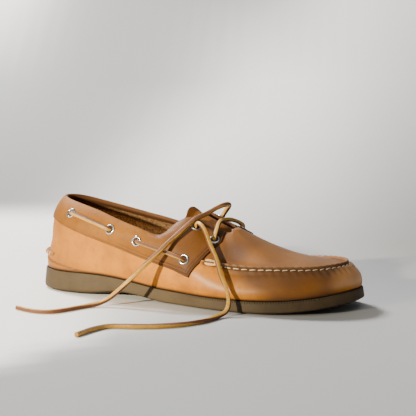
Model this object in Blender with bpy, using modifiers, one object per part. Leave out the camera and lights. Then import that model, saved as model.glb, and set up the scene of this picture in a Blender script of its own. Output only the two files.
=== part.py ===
"""A right-foot leather boat shoe: siped one-piece sole, moccasin upper, collar band and rawhide lace.

The shoe stands on its sole with the toe towards +X, the outer side towards -Y and +Z up.
Every length is in metres. The origin is under the middle of the sole, on the floor.
"""
import math

import bpy
import numpy as np
from mathutils import Matrix, Vector

MM = 0.001

# Driving dimensions of the shoe
LENGTH = 300 * MM
BALL_WIDTH = 105 * MM
UPPER_RISE = 65 * MM          # heel collar above the sole's top
SOLE_HEEL = 19 * MM           # sole thickness under the heel
SOLE_BALL = 10.5 * MM         # sole thickness under the ball
TOE_SPRING = 8 * MM
ARCH_LIFT = 3.3 * MM
SOLE_CHAMFER = 2.6 * MM
SOLE_SLANT = 1.6 * MM         # how far the sole's top edge stands inside its foot
FEATHER_INSET = 1.4 * MM      # the upper's lower edge, inside the sole's top edge
UPPER_WALL = 2.0 * MM
BULGE = 4.4 * MM              # how far the fullest sections swell over the feather line
SIDE_SWELL = 3.2 * MM         # the same over the seam line, half way to the collar
LOW_PULL = 0.38               # how long the wall keeps its direction from the sole
HIGH_PULL = 0.42              # and from the seam line
VAMP_PULL = 0.10              # more of the same round the toe
SEAM_RIDGE = 2.4 * MM         # the moccasin seam's raised edge
SEAM_LIP = 3.6 * MM           # half the width of that edge
BAND_THICKNESS = 1.3 * MM     # collar band, laid over the upper
HEEL_TAB_THICKNESS = 2.2 * MM
TONGUE_THICKNESS = 1.8 * MM
INSOLE_THICKNESS = 3.5 * MM
INSOLE_INSET = 5.6 * MM
EYELET_RADIUS = 4.1 * MM
EYELET_HOLE = 2.4 * MM
EYELET_HEIGHT = 0.9 * MM
LACE_WIDTH = 3.6 * MM
CLEARANCE = 0.3 * MM          # between pieces that touch on the real shoe

# Mesh fineness
STATIONS = 76
WRAP = 6                      # rows of the section table repeated past each end of the way round
TURN_WEIGHT = 0.16            # how much closer the stations stand where the outline turns
RIDGE_LEVEL = 1.03            # where the seam ridge takes its direction from
FRONT_STATIONS = 15           # stations of the band from an ear to its front end
SOLE_STATIONS = 34
WALL_ROWS = (0.0, 0.13, 0.3, 0.5, 0.7, 0.86, 1.0)
TOP_ROWS = (0.0, 0.2, 0.4, 0.6, 0.8, 1.0)

# One row for each section round the shoe, from the heel's back along the outer side to the toe,
# and back along the inner side. Along is a share of LENGTH from the shoe's middle, across a share
# of BALL_WIDTH, and rise a share of UPPER_RISE above the sole's top. Edge is the sole's outline,
# seam the moccasin seam and its line round the heel, top the collar and throat edge. Full is the
# share of BULGE, and vamp is 1 where the section runs up over the toe's plug to the throat.
SECTION_COLUMNS = ("name", "edge_along", "edge_across", "seam_along", "seam_across", "seam_rise",
                   "top_along", "top_across", "top_rise", "full", "vamp")
SECTIONS = (
    ("heel_back", -0.500, 0.000, -0.472, 0.000, 0.48, -0.430, 0.000, 1.000, 0.40, 0),
    ("heel_back_outer", -0.489, -0.140, -0.463, -0.125, 0.48, -0.419, -0.080, 0.995, 0.40, 0),
    ("heel_corner_outer", -0.457, -0.250, -0.438, -0.220, 0.48, -0.390, -0.145, 0.970, 0.42, 0),
    ("heel_side_outer", -0.407, -0.318, -0.393, -0.295, 0.48, -0.345, -0.195, 0.930, 0.45, 0),
    ("heel_front_outer", -0.317, -0.340, -0.310, -0.338, 0.46, -0.273, -0.248, 0.866, 0.50, 0),
    ("waist_outer", -0.200, -0.345, -0.200, -0.365, 0.45, -0.177, -0.297, 0.775, 0.60, 0),
    ("quarter_outer", -0.133, -0.361, -0.140, -0.380, 0.455, -0.121, -0.313, 0.738, 0.65, 0),
    ("collar_low_outer", -0.067, -0.384, -0.078, -0.395, 0.46, -0.064, -0.318, 0.702, 0.70, 0),
    ("facing_outer", 0.010, -0.420, -0.012, -0.412, 0.48, -0.028, -0.235, 0.850, 0.75, 0),
    ("ear_outer", 0.067, -0.457, 0.030, -0.420, 0.47, 0.014, -0.140, 0.945, 0.80, 0),
    ("throat_outer", 0.117, -0.480, 0.080, -0.405, 0.44, 0.064, -0.122, 0.830, 0.85, 0.05),
    ("vamp_outer", 0.167, -0.489, 0.130, -0.372, 0.41, 0.113, -0.105, 0.780, 0.92, 0.6),
    ("ball_outer", 0.257, -0.4925, 0.220, -0.368, 0.39, 0.123, -0.065, 0.805, 1.00, 1),
    ("forefoot_outer", 0.343, -0.432, 0.307, -0.338, 0.385, 0.126, -0.040, 0.818, 1.00, 1),
    ("toe_corner_outer", 0.417, -0.312, 0.383, -0.262, 0.362, 0.127, -0.022, 0.823, 0.95, 1),
    ("toe_front_outer", 0.472, -0.140, 0.437, -0.135, 0.345, 0.128, -0.006, 0.824, 0.90, 1),
    ("toe_tip", 0.500, 0.067, 0.460, 0.050, 0.335, 0.128, 0.012, 0.824, 0.90, 1),
    ("toe_front_inner", 0.490, 0.238, 0.443, 0.180, 0.348, 0.128, 0.030, 0.822, 0.90, 1),
    ("toe_corner_inner", 0.453, 0.362, 0.403, 0.272, 0.360, 0.127, 0.048, 0.819, 0.95, 1),
    ("forefoot_inner", 0.383, 0.450, 0.343, 0.328, 0.363, 0.126, 0.068, 0.813, 0.95, 1),
    ("ball_inner", 0.290, 0.496, 0.270, 0.352, 0.375, 0.123, 0.096, 0.800, 0.95, 1),
    ("vamp_inner", 0.190, 0.477, 0.178, 0.345, 0.480, 0.115, 0.138, 0.772, 0.85, 0.6),
    ("throat_inner", 0.127, 0.432, 0.110, 0.352, 0.560, 0.066, 0.157, 0.830, 0.70, 0.05),
    ("ear_inner", 0.067, 0.385, 0.040, 0.362, 0.580, 0.014, 0.176, 0.940, 0.60, 0),
    ("facing_inner", 0.010, 0.345, -0.012, 0.358, 0.560, -0.030, 0.256, 0.830, 0.60, 0),
    ("collar_low_inner", -0.067, 0.315, -0.078, 0.346, 0.520, -0.070, 0.302, 0.700, 0.60, 0),
    ("quarter_inner", -0.133, 0.304, -0.140, 0.334, 0.495, -0.128, 0.297, 0.728, 0.60, 0),
    ("waist_inner", -0.200, 0.300, -0.200, 0.328, 0.470, -0.186, 0.282, 0.755, 0.60, 0),
    ("heel_front_inner", -0.317, 0.325, -0.310, 0.324, 0.470, -0.280, 0.238, 0.825, 0.50, 0),
    ("heel_side_inner", -0.407, 0.305, -0.393, 0.290, 0.48, -0.347, 0.190, 0.900, 0.45, 0),
    ("heel_corner_inner", -0.457, 0.243, -0.438, 0.214, 0.48, -0.390, 0.143, 0.955, 0.42, 0),
    ("heel_back_inner", -0.489, 0.138, -0.463, 0.123, 0.48, -0.419, 0.080, 0.990, 0.40, 0),
)

# The ridge of the vamp from the toe seam back to the throat
CREST_COLUMNS = ("along", "rise")
CREST = (
    (0.090, 0.905),
    (0.127, 0.826),
    (0.155, 0.755),
    (0.182, 0.692),
    (0.222, 0.610),
    (0.272, 0.526),
    (0.328, 0.460),
    (0.372, 0.425),
    (0.420, 0.375),
    (0.460, 0.335),
)

# The sole's top and underside along the shoe. Heel is a share of SOLE_HEEL, ball of SOLE_BALL,
# and spring of TOE_SPRING; arch is a share of ARCH_LIFT on the underside.
SOLE_COLUMNS = ("along", "heel", "ball", "spring", "arch")
SOLE_ROWS = (
    (-0.500, 1.00, 0.00, 0.00, 0.00),
    (-0.400, 1.00, 0.00, 0.00, 0.00),
    (-0.325, 1.00, 0.00, 0.00, 0.00),
    (-0.260, 0.97, 0.00, 0.00, 0.50),
    (-0.200, 0.75, 0.26, 0.00, 1.00),
    (-0.130, 0.44, 0.56, 0.00, 0.75),
    (-0.060, 0.18, 0.82, 0.00, 0.10),
    (0.000, 0.04, 0.99, 0.00, 0.00),
    (0.100, 0.00, 1.00, 0.00, 0.00),
    (0.220, 0.00, 1.00, 0.02, 0.00),
    (0.320, 0.00, 1.00, 0.17, 0.00),
    (0.420, 0.00, 1.00, 0.53, 0.00),
    (0.500, 0.00, 1.00, 1.00, 0.00),
)

# The collar band's lower edge round the shoe: a section and how far up it the edge runs, where
# 0 is the sole, 1 the seam line and 2 the collar.
BAND_COLUMNS = ("section", "level")
BAND_EDGE = (
    ("vamp_outer", 1.55),
    ("throat_outer", 1.0),
    ("ear_outer", 0.50),
    ("facing_outer", 0.64),
    ("collar_low_outer", 0.80),
    ("quarter_outer", 0.89),
    ("waist_outer", 0.98),
    ("heel_front_outer", 1.12),
    ("heel_side_outer", 1.24),
    ("heel_corner_outer", 1.32),
    ("heel_back", 1.36),
    ("heel_corner_inner", 1.32),
    ("heel_side_inner", 1.22),
    ("heel_front_inner", 1.08),
    ("waist_inner", 0.90),
    ("quarter_inner", 0.80),
    ("collar_low_inner", 0.70),
    ("facing_inner", 0.55),
    ("ear_inner", 0.44),
    ("throat_inner", 0.90),
    ("vamp_inner", 1.55),
)

# The tongue's middle line from under the vamp up to its tip, in the same shares as the sections
TONGUE_COLUMNS = ("along", "rise", "half_width")
TONGUE_LINE = (
    (0.155, 0.655, 0.160),
    (0.127, 0.725, 0.165),
    (0.100, 0.780, 0.168),
    (0.073, 0.828, 0.172),
    (0.040, 0.888, 0.180),
    (0.013, 0.940, 0.190),
    (-0.004, 0.974, 0.195),
)
TONGUE_MIDDLE = 0.030         # share of BALL_WIDTH
TONGUE_SLOPE = 0.62
TONGUE_ROUND = 0.060          # share of BALL_WIDTH
TONGUE_SKEW = 0.24
TIP_SLOPE = 0.9               # rise over run of the tip, beyond the table's last row
LOBE_REACH = 4.5 * MM
LOBE_HALF_WIDTH = 12 * MM
TONGUE_ROWS = 10
TONGUE_ACROSS = 15

# Where the eyelets sit on the band: two pairs down each side and two in each facing
EYELET_COLUMNS = ("name", "along", "across", "rise")
EYELETS = (
    ("outer_rear", -0.366, -0.275, 0.813),
    ("outer_waist", -0.218, -0.368, 0.669),
    ("outer_middle", -0.126, -0.401, 0.602),
    ("outer_front", 0.032, -0.434, 0.467),
    ("outer_upper_facing", 0.036, -0.234, 0.851),
    ("outer_lower_facing", 0.100, -0.257, 0.714),
    ("inner_rear", -0.366, 0.262, 0.795),
    ("inner_waist", -0.222, 0.325, 0.655),
    ("inner_middle", -0.130, 0.350, 0.590),
    ("inner_front", 0.032, 0.390, 0.520),
    ("inner_upper_facing", 0.036, 0.268, 0.845),
    ("inner_lower_facing", 0.100, 0.292, 0.715),
)
EYELET_SEAT = CLEARANCE + BAND_THICKNESS
RING_SEGMENTS = 14
RING_SIDES = 6
LACE_SEAT = EYELET_SEAT + CLEARANCE + EYELET_HEIGHT + CLEARANCE + LACE_WIDTH / 2
LACE_STEP = 2.6               # lace widths between the points of a modelled run

# The sides' runs between their eyelets, and the bar that crosses the throat
SIDE_RUNS = (
    ("lace_outer_rear", "outer_rear", "outer_waist"),
    ("lace_outer_front", "outer_middle", "outer_front"),
    ("lace_inner_rear", "inner_rear", "inner_waist"),
    ("lace_inner_front", "inner_middle", "inner_front"),
)
BAR_CREST = (0.080, 0.030, 0.905)   # shares of LENGTH, BALL_WIDTH and UPPER_RISE
BAR_LIFT = 1.2 * MM            # over the facings' edges, above the eyelets' own seat
RUN_BOW = 0.6 * MM             # how far a side run stands off the band at its middle

# The two loose ends: each route is a list of places in millimetres on the shoe's frame, from the
# eyelet that it leaves, over the throat and the outer side, and along the floor.
LACE_END_A = (
    (12.6, 31.0, 70.8), (16.0, 30.0, 75.2), (20.0, 25.5, 79.2), (21.8, 18.5, 81.2),
    (20.0, 11.0, 81.0), (16.0, 4.0, 78.6), (12.4, -7.0, 75.2), (9.6, -18.0, 73.2),
    (7.6, -28.0, 70.0), (4.8, -35.2, 65.7), (1.2, -40.6, 61.0), (-3.6, -46.6, 55.6),
    (-7.6, -51.4, 50.2), (-13.4, -54.4, 44.0), (-20.5, -57.0, 37.0), (-28.6, -60.6, 28.0),
    (-37.4, -65.2, 18.4), (-46.0, -69.6, 9.8), (-53.4, -74.0, 4.4), (-60.2, -81.0, 2.3),
    (-66.0, -92.0, 1.9), (-71.5, -106.0, 1.9), (-79.2, -117.4, 1.9), (-92.0, -121.0, 1.9),
    (-113.6, -114.8, 1.9),
)
LACE_END_B = (
    (13.2, -26.6, 68.0), (18.6, -28.4, 64.8), (24.0, -31.8, 59.8), (29.8, -36.2, 53.4),
    (36.6, -41.0, 45.8), (42.0, -46.0, 38.2), (46.2, -50.0, 31.0), (52.0, -54.4, 23.8),
    (56.2, -58.0, 17.0), (58.6, -61.8, 10.4), (58.8, -66.0, 5.2), (56.2, -74.4, 2.2),
    (53.3, -93.0, 2.05), (46.1, -109.6, 2.05), (33.8, -123.8, 2.05), (21.7, -132.0, 2.05),
    (8.6, -138.4, 2.05), (-8.0, -145.4, 2.05), (-14.6, -161.2, 2.05), (-16.2, -182.6, 2.05),
)

# The short hand-sewn ridge across the heel's back
HEEL_SEAM_REACH = 0.048       # share of the way round, each side of the middle
HEEL_SEAM_LEVEL = 0.46
HEEL_SEAM_TALL = 0.13         # in levels
HEEL_SEAM_PROFILE = ((0.0, 0.0), (0.15, 0.75), (0.5, 1.0), (0.85, 0.75), (1.0, 0.0))
HEEL_SEAM_STATIONS = 15


def spline(knots, values, at):
    """A natural cubic spline through the knots, read at the places asked for."""
    knots = np.asarray(knots, float)
    values = np.asarray(values, float)
    at = np.asarray(at, float)
    count = len(knots)
    step = np.diff(knots)
    system = np.zeros((count, count))
    system[0, 0] = 1
    system[-1, -1] = 1
    right = np.zeros(count)
    for i in range(1, count - 1):
        system[i, i - 1:i + 2] = (step[i - 1], 2 * (step[i - 1] + step[i]), step[i])
        rise = (values[i + 1] - values[i]) / step[i]
        before = (values[i] - values[i - 1]) / step[i - 1]
        right[i] = 6 * (rise - before)
    bend = np.linalg.solve(system, right)
    i = np.clip(np.searchsorted(knots, at) - 1, 0, count - 2)
    h = step[i]
    left = knots[i + 1] - at
    gone = at - knots[i]
    cubic = (bend[i] * left ** 3 + bend[i + 1] * gone ** 3) / (6 * h)
    start = (values[i] / h - bend[i] * h / 6) * left
    end = (values[i + 1] / h - bend[i + 1] * h / 6) * gone
    return cubic + start + end


def column(rows, columns, name):
    """One column of a table as an array."""
    return np.array([row[columns.index(name)] for row in rows], float)


def section_knots():
    """The distance round the sole's outline at each section, as a share of the whole way round."""
    x = column(SECTIONS, SECTION_COLUMNS, "edge_along") * LENGTH
    y = column(SECTIONS, SECTION_COLUMNS, "edge_across") * BALL_WIDTH
    steps = np.hypot(np.roll(x, -1) - x, np.roll(y, -1) - y)
    return np.concatenate([[0.0], np.cumsum(steps)]) / steps.sum()


KNOTS = section_knots()


def around(name, u):
    """A column of the section table, as a smooth closed function of the place round the shoe."""
    values = column(SECTIONS, SECTION_COLUMNS, name)
    count = len(values)
    index = np.arange(-WRAP, count + WRAP)
    knots = KNOTS[index % count] + index // count
    return spline(knots, values[index % count], np.asarray(u, float) % 1.0)


def place_of(name):
    """The place round the shoe of a named section."""
    names = [row[0] for row in SECTIONS]
    return KNOTS[names.index(name)]


def sole_profile(x):
    """The sole's underside and top over the floor at a place along the shoe."""
    along = np.clip(np.asarray(x, float) / LENGTH, -0.5, 0.5)
    knots = column(SOLE_ROWS, SOLE_COLUMNS, "along")
    share = {name: spline(knots, column(SOLE_ROWS, SOLE_COLUMNS, name), along)
             for name in SOLE_COLUMNS[1:]}
    spring = np.maximum(share["spring"], 0) * TOE_SPRING
    spring = np.where(along > 0.15, spring, 0)
    arch = np.where((along > -0.36) & (along < -0.04), np.maximum(share["arch"], 0), 0) * ARCH_LIFT
    top = share["heel"] * SOLE_HEEL + share["ball"] * SOLE_BALL + spring
    return spring + arch, top


def outline(u, inset=0.0):
    """The sole's outline in plan, moved in by the inset, with its outward direction."""
    u = np.asarray(u, float)
    nudge = 1e-4
    x = around("edge_along", u) * LENGTH
    y = around("edge_across", u) * BALL_WIDTH
    dx = (around("edge_along", u + nudge) - around("edge_along", u - nudge)) * LENGTH
    dy = (around("edge_across", u + nudge) - around("edge_across", u - nudge)) * BALL_WIDTH
    size = np.hypot(dx, dy)
    out = np.stack([dy / size, -dx / size], axis=-1)
    return np.stack([x, y], axis=-1) - out * inset, out


def crest_height(x):
    """The height of the vamp's ridge over the floor at a place along the shoe."""
    along = np.clip(np.asarray(x, float) / LENGTH, CREST[0][0], CREST[-1][0])
    rise = spline(column(CREST, CREST_COLUMNS, "along"), column(CREST, CREST_COLUMNS, "rise"), along)
    return sole_profile(x)[1] + rise * UPPER_RISE


def corner(name, u):
    """The seam line or the top edge at a place round the shoe."""
    x = around(name + "_along", u) * LENGTH
    y = around(name + "_across", u) * BALL_WIDTH
    z = sole_profile(x)[1] + around(name + "_rise", u) * UPPER_RISE
    return np.stack([x, y, z], axis=-1)


def over_seam(u, t):
    """The surface from the seam line, at t = 0, to the collar or throat edge, at t = 1."""
    seam = corner("seam", u)
    top = corner("top", u)
    vamp = np.clip(around("vamp", u), 0, 1)
    point = seam + (top - seam) * t[..., None]
    seam_drop = crest_height(seam[..., 0]) - seam[..., 2]
    top_drop = crest_height(top[..., 0]) - top[..., 2]
    drop = seam_drop * (1 - t) ** 2 + top_drop * (1 - (1 - t) ** 2)
    over_vamp = crest_height(point[..., 0]) - drop
    swell = SIDE_SWELL * 4 * t * (1 - t)
    out = outline(u)[1]
    side = point[..., 2] + swell
    point[..., :2] += out * (swell * (1 - vamp))[..., None]
    point[..., 2] = side + (over_vamp - side) * vamp
    return point


def surface(u, level):
    """The upper's outer surface: level 0 is the sole, 1 the seam line and 2 the top edge."""
    u, level = np.broadcast_arrays(np.asarray(u, float), np.asarray(level, float))
    t = np.clip(level - 1, 0, 1)
    upper = over_seam(u, t)
    seam = corner("seam", u)
    nudge = np.full(u.shape, 0.02)
    lean = over_seam(u, nudge) - seam
    lean /= np.linalg.norm(lean, axis=-1, keepdims=True)
    plan, out = outline(u, SOLE_SLANT + FEATHER_INSET)
    foot_z = sole_profile(plan[..., 0])[1] + CLEARANCE
    foot = np.concatenate([plan, foot_z[..., None]], axis=-1)
    height = (seam[..., 2] - foot[..., 2])[..., None]
    full = np.clip(around("full", u), 0, 2)[..., None]
    vamp = np.clip(around("vamp", u), 0, 1)[..., None]
    up = np.array([0.0, 0.0, 1.0])
    outward = np.concatenate([out, np.zeros(out.shape[:-1] + (1,))], axis=-1)
    low = foot + outward * BULGE * full + up * height * LOW_PULL
    high = seam - lean * height * HIGH_PULL - up * height * VAMP_PULL * vamp
    s = np.clip(level, 0, 1)[..., None]
    wall = ((1 - s) ** 3 * foot + 3 * (1 - s) ** 2 * s * low + 3 * (1 - s) * s ** 2 * high
            + s ** 3 * seam)
    return np.where(level[..., None] > 1, upper, wall)


def surface_normal(u, level):
    """The outward direction of the upper's surface."""
    u, level = np.broadcast_arrays(np.asarray(u, float), np.asarray(level, float))
    du = surface(u + 1e-3, level) - surface(u - 1e-3, level)
    above = np.minimum(level + 0.02, 2)
    below = np.maximum(level - 0.02, 0)
    dv = surface(u, above) - surface(u, below)
    normal = np.cross(du, dv)
    return normal / np.linalg.norm(normal, axis=-1, keepdims=True)


def material(name, color, roughness, metallic=0.0):
    """A plain Principled material with the part's colour."""
    made = bpy.data.materials.new(name)
    made.use_nodes = True
    shader = made.node_tree.nodes["Principled BSDF"]
    shader.inputs["Base Color"].default_value = (*color, 1)
    shader.inputs["Roughness"].default_value = roughness
    shader.inputs["Metallic"].default_value = metallic
    made.diffuse_color = (*color, 1)
    return made


def add_object(name, mesh, finish, collection):
    """Puts a mesh in the collection under its own name and material."""
    piece = bpy.data.objects.new(name, mesh)
    piece.data.materials.append(finish)
    collection.objects.link(piece)
    return piece


def mesh_from(name, points, faces):
    """A mesh from points and faces."""
    mesh = bpy.data.meshes.new(name)
    mesh.from_pydata([tuple(point) for point in points], [], faces)
    mesh.validate()
    for face in mesh.polygons:
        face.use_smooth = True
    return mesh


def grid_faces(rows, stations, closed):
    """Triangles of a grid whose points run along the stations row by row, facing out of the shoe."""
    faces = []
    last = stations if closed else stations - 1
    for row in range(rows - 1):
        for i in range(last):
            j = (i + 1) % stations
            low = row * stations
            high = low + stations
            faces.append((low + i, low + j, high + j))
            faces.append((low + i, high + j, high + i))
    return faces


def solidify(piece, thickness, offset):
    """Gives an open surface its wall."""
    wall = piece.modifiers.new("wall", "SOLIDIFY")
    wall.thickness = thickness
    wall.offset = offset
    wall.use_rim = True
    wall.use_even_offset = False


def station_places(count):
    """Places round the shoe, closer together where the outline turns sharply."""
    fine = np.linspace(0, 1, 1201)
    plan, out = outline(fine)
    run = np.hypot(*np.diff(plan, axis=0).T)
    turn = np.linalg.norm(np.diff(out, axis=0), axis=1)
    weight = np.concatenate([[0.0], np.cumsum(run / LENGTH + TURN_WEIGHT * turn)])
    return np.interp(np.arange(count) / count * weight[-1], weight, fine)


def upper_grid(u):
    """The levels and points of the upper's rows, with the moccasin seam's ridge raised."""
    seam = corner("seam", u)
    reach = np.linalg.norm(corner("top", u) - seam, axis=1)
    height = np.linalg.norm(seam - surface(u, np.zeros(len(u))), axis=1)
    below = 1 - SEAM_LIP / height
    above = 1 + SEAM_LIP / reach
    levels = [share * below for share in WALL_ROWS]
    levels.append(np.ones(len(u)))
    levels += [above + share * (2 - above) for share in TOP_ROWS]
    levels = np.stack(levels)
    points = surface(u, levels)
    lift = SEAM_RIDGE * np.clip(around("vamp", u), 0, 1)
    over = surface_normal(u, np.full(len(u), RIDGE_LEVEL))
    points[len(WALL_ROWS)] += over * lift[:, None]
    return levels, points


def build_upper(collection, finish):
    """The moccasin upper: one wall from the sole over the seam to the collar and throat."""
    levels, points = upper_grid(station_places(STATIONS))
    faces = grid_faces(len(levels), STATIONS, True)
    piece = add_object("upper", mesh_from("upper", points.reshape(-1, 3), faces), finish, collection)
    solidify(piece, UPPER_WALL, -1)
    return piece


def band_level(u):
    """How far up the section the collar band's lower edge runs."""
    places = np.array([place_of(name) for name, level in BAND_EDGE])
    places = np.where(places > 0.5, places - 1, places)
    levels = column(BAND_EDGE, BAND_COLUMNS, "level")
    order = np.argsort(places)
    return np.interp(u, places[order], levels[order])


def build_band(collection, finish):
    """The collar band with its facings, laid on the upper's own triangles from throat to throat."""
    start = place_of("vamp_inner") - 1
    end = place_of("vamp_outer")
    shared = station_places(STATIONS)
    levels, points = upper_grid(shared)
    shared = np.concatenate([shared - 1, shared])
    levels = np.tile(levels, 2)
    points = np.tile(points, (1, 2, 1))
    inside = shared[(shared > start) & (shared < end)]
    front = [np.linspace(start, place_of("ear_inner") - 1, FRONT_STATIONS),
             np.linspace(place_of("ear_outer"), end, FRONT_STATIONS)]
    inside = inside[(inside > front[0][-1]) & (inside < front[1][0])]
    u = np.concatenate([front[0], inside, front[1]])
    left = np.searchsorted(shared, u, side="right") - 1
    f = (u - shared[left]) / (shared[left + 1] - shared[left])
    height = levels[:, left] * (1 - f) + levels[:, left + 1] * f
    places = points[:, left] * (1 - f)[:, None] + points[:, left + 1] * f[:, None]
    low = band_level(u)
    names = np.arange(height.size).reshape(height.shape)
    for i, (j, share) in enumerate(zip(left, f)):
        k = np.flatnonzero(height[:, i] <= low[i])[-1]
        g = (low[i] - height[k, i]) / (height[k + 1, i] - height[k, i])
        first, ahead = points[k, j], points[k, j + 1]
        over, over_ahead = points[k + 1, j], points[k + 1, j + 1]
        if share >= g:
            places[k, i] = first + (ahead - first) * share + (over_ahead - ahead) * g
        else:
            places[k, i] = first + (over - first) * g + (over_ahead - over) * share
        height[k, i] = low[i]
        names[:k, i] = names[k, i]
    places += surface_normal(u, height) * CLEARANCE
    flat = names.reshape(-1)
    faces = [dict.fromkeys(int(flat[k]) for k in face)
             for face in grid_faces(len(height), len(u), False)]
    faces = [tuple(face) for face in faces if len(face) == 3]
    used = sorted({k for face in faces for k in face})
    order = {k: i for i, k in enumerate(used)}
    faces = [tuple(order[k] for k in face) for face in faces]
    mesh = mesh_from("collar_band", places.reshape(-1, 3)[used], faces)
    piece = add_object("collar_band", mesh, finish, collection)
    solidify(piece, BAND_THICKNESS, 1)
    return piece


def side_at(x, side, inset):
    """The sole's outline on one side (-1 outer, 1 inner) at places along the shoe."""
    tip = place_of("toe_tip")
    u = np.linspace(0, tip, 801) if side < 0 else np.linspace(1, tip, 801)
    plan = outline(u, inset)[0]
    order = np.argsort(plan[:, 0])
    return np.interp(x, plan[order, 0], plan[order, 1])


def plate_rings(inset, heights):
    """Points round the shoe at an inset, matched across, with a height for each."""
    swing = (1 - np.cos(np.linspace(0, math.pi, SOLE_STATIONS))) / 2
    ends = outline(np.array([0.0, place_of("toe_tip")]), inset)[0][:, 0]
    x = ends[0] + (ends[1] - ends[0]) * swing
    outer = side_at(x, -1, inset)
    inner = side_at(x, 1, inset)
    middle = (outer[[0, -1]] + inner[[0, -1]]) / 2
    outer[[0, -1]] = middle
    ring_x = np.concatenate([x, x[-2:0:-1]])
    ring_y = np.concatenate([outer, inner[-2:0:-1]])
    return np.stack([ring_x, ring_y, heights(ring_x)], axis=-1)


def ladder(ring_start, count, half, upward):
    """Faces across a ring whose points are matched from side to side."""
    faces = []
    for i in range(half - 1):
        here = ring_start + i
        ahead = ring_start + i + 1
        across = ring_start + (count - i) % count
        across_ahead = ring_start + (count - i - 1) % count
        face = [here, ahead, across_ahead, across]
        face = list(dict.fromkeys(face))
        faces.append(tuple(face if upward else face[::-1]))
    return faces


def stacked_plate(name, rings):
    """A closed plate from rings of points, lowest first."""
    count = len(rings[0])
    half = count // 2 + 1
    faces = ladder(0, count, half, False)
    faces += ladder((len(rings) - 1) * count, count, half, True)
    faces += grid_faces(len(rings), count, True)
    return mesh_from(name, np.concatenate(rings), faces)


def build_sole(collection, finish):
    """The sole with its heel wedge, arch, toe spring and slightly flared, chamfered foot."""
    def under(x):
        return sole_profile(x)[0]

    def flare(x):
        return sole_profile(x)[0] + SOLE_CHAMFER

    def top(x):
        return sole_profile(x)[1]

    rings = [plate_rings(SOLE_CHAMFER, under), plate_rings(0, flare), plate_rings(SOLE_SLANT, top)]
    return add_object("sole", stacked_plate("sole", rings), finish, collection)


def build_insole(collection, finish):
    """The insole, which closes the upper over the sole."""
    def low(x):
        return sole_profile(x)[1] + CLEARANCE

    def high(x):
        return sole_profile(x)[1] + CLEARANCE + INSOLE_THICKNESS

    rings = [plate_rings(INSOLE_INSET, low), plate_rings(INSOLE_INSET, high)]
    return add_object("insole", stacked_plate("insole", rings), finish, collection)


def tongue_surface(s, q):
    """The tongue's outer surface: s from its front, 0, to its top, 1; q across from -1 to 1."""
    knots = np.linspace(0, 1, len(TONGUE_LINE))
    along = spline(knots, column(TONGUE_LINE, TONGUE_COLUMNS, "along"), s)
    half = spline(knots, column(TONGUE_LINE, TONGUE_COLUMNS, "half_width"), s) * BALL_WIDTH
    offset = q * half
    y = TONGUE_MIDDLE * BALL_WIDTH + offset
    lobe = LOBE_REACH * np.exp(-(offset / LOBE_HALF_WIDTH) ** 4)
    x = along * LENGTH + (TONGUE_SKEW * offset - lobe) * s ** 2
    lines = column(TONGUE_LINE, TONGUE_COLUMNS, "along")[::-1]
    rises = column(TONGUE_LINE, TONGUE_COLUMNS, "rise")[::-1]
    here = x / LENGTH
    rise = spline(lines, rises, np.clip(here, lines[0], lines[-1]))
    beyond = np.maximum(lines[0] - here, 0) * LENGTH
    base = sole_profile(along * LENGTH)[1]
    rounding = TONGUE_ROUND * BALL_WIDTH
    droop = TONGUE_SLOPE * (np.sqrt(offset ** 2 + rounding ** 2) - rounding)
    z = base + rise * UPPER_RISE + beyond * TIP_SLOPE - droop
    return np.stack([x, y, z], axis=-1)


def build_tongue(collection, finish):
    """The tongue, which rises from under the vamp to a rounded lobe above the facings."""
    s, q = np.meshgrid(np.linspace(0, 1, TONGUE_ROWS), np.linspace(-1, 1, TONGUE_ACROSS),
                       indexing="ij")
    points = tongue_surface(s, q).reshape(-1, 3)
    faces = grid_faces(TONGUE_ROWS, TONGUE_ACROSS, False)
    faces = [face[::-1] for face in faces]
    piece = add_object("tongue", mesh_from("tongue", points, faces), finish, collection)
    solidify(piece, TONGUE_THICKNESS, -1)
    return piece


def locate(name):
    """The place round the shoe and the level of an eyelet's centre, and its point and normal."""
    row = EYELETS[[row[0] for row in EYELETS].index(name)]
    x = row[1] * LENGTH
    target = np.array([x, row[2] * BALL_WIDTH, sole_profile(x)[1] + row[3] * UPPER_RISE])
    tip = place_of("toe_tip")
    low, high = (0.0, tip) if target[1] < 0 else (tip, 1.0)
    u, level = np.meshgrid(np.linspace(low, high, 400), np.linspace(0.3, 1.95, 67), indexing="ij")
    gap = np.linalg.norm(surface(u, level) - target, axis=-1)
    best = np.unravel_index(np.argmin(gap), gap.shape)
    place = np.array([u[best]])
    height = np.array([level[best]])
    return surface(place, height)[0], surface_normal(place, height)[0]


def build_eyelets(collection, finish):
    """A flattened metal ring round each lace hole, on the band's outer face."""
    wire = (EYELET_RADIUS - EYELET_HOLE) / 2
    for row in EYELETS:
        point, normal = locate(row[0])
        bpy.ops.mesh.primitive_torus_add(major_segments=RING_SEGMENTS, minor_segments=RING_SIDES,
                                         major_radius=EYELET_RADIUS - wire, minor_radius=wire)
        ring = bpy.context.object
        ring.name = "eyelet_" + row[0]
        flatten = Matrix.Diagonal((1, 1, EYELET_HEIGHT / (2 * wire), 1))
        ring.data.transform(flatten)
        lift = EYELET_SEAT + CLEARANCE + EYELET_HEIGHT / 2
        turn = Vector((0, 0, 1)).rotation_difference(Vector(normal))
        ring.rotation_mode = "QUATERNION"
        ring.rotation_quaternion = turn
        ring.location = Vector(point + normal * lift)
        for owner in list(ring.users_collection):
            owner.objects.unlink(ring)
        collection.objects.link(ring)
        ring.data.materials.append(finish)
        ring.data.shade_smooth()


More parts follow.
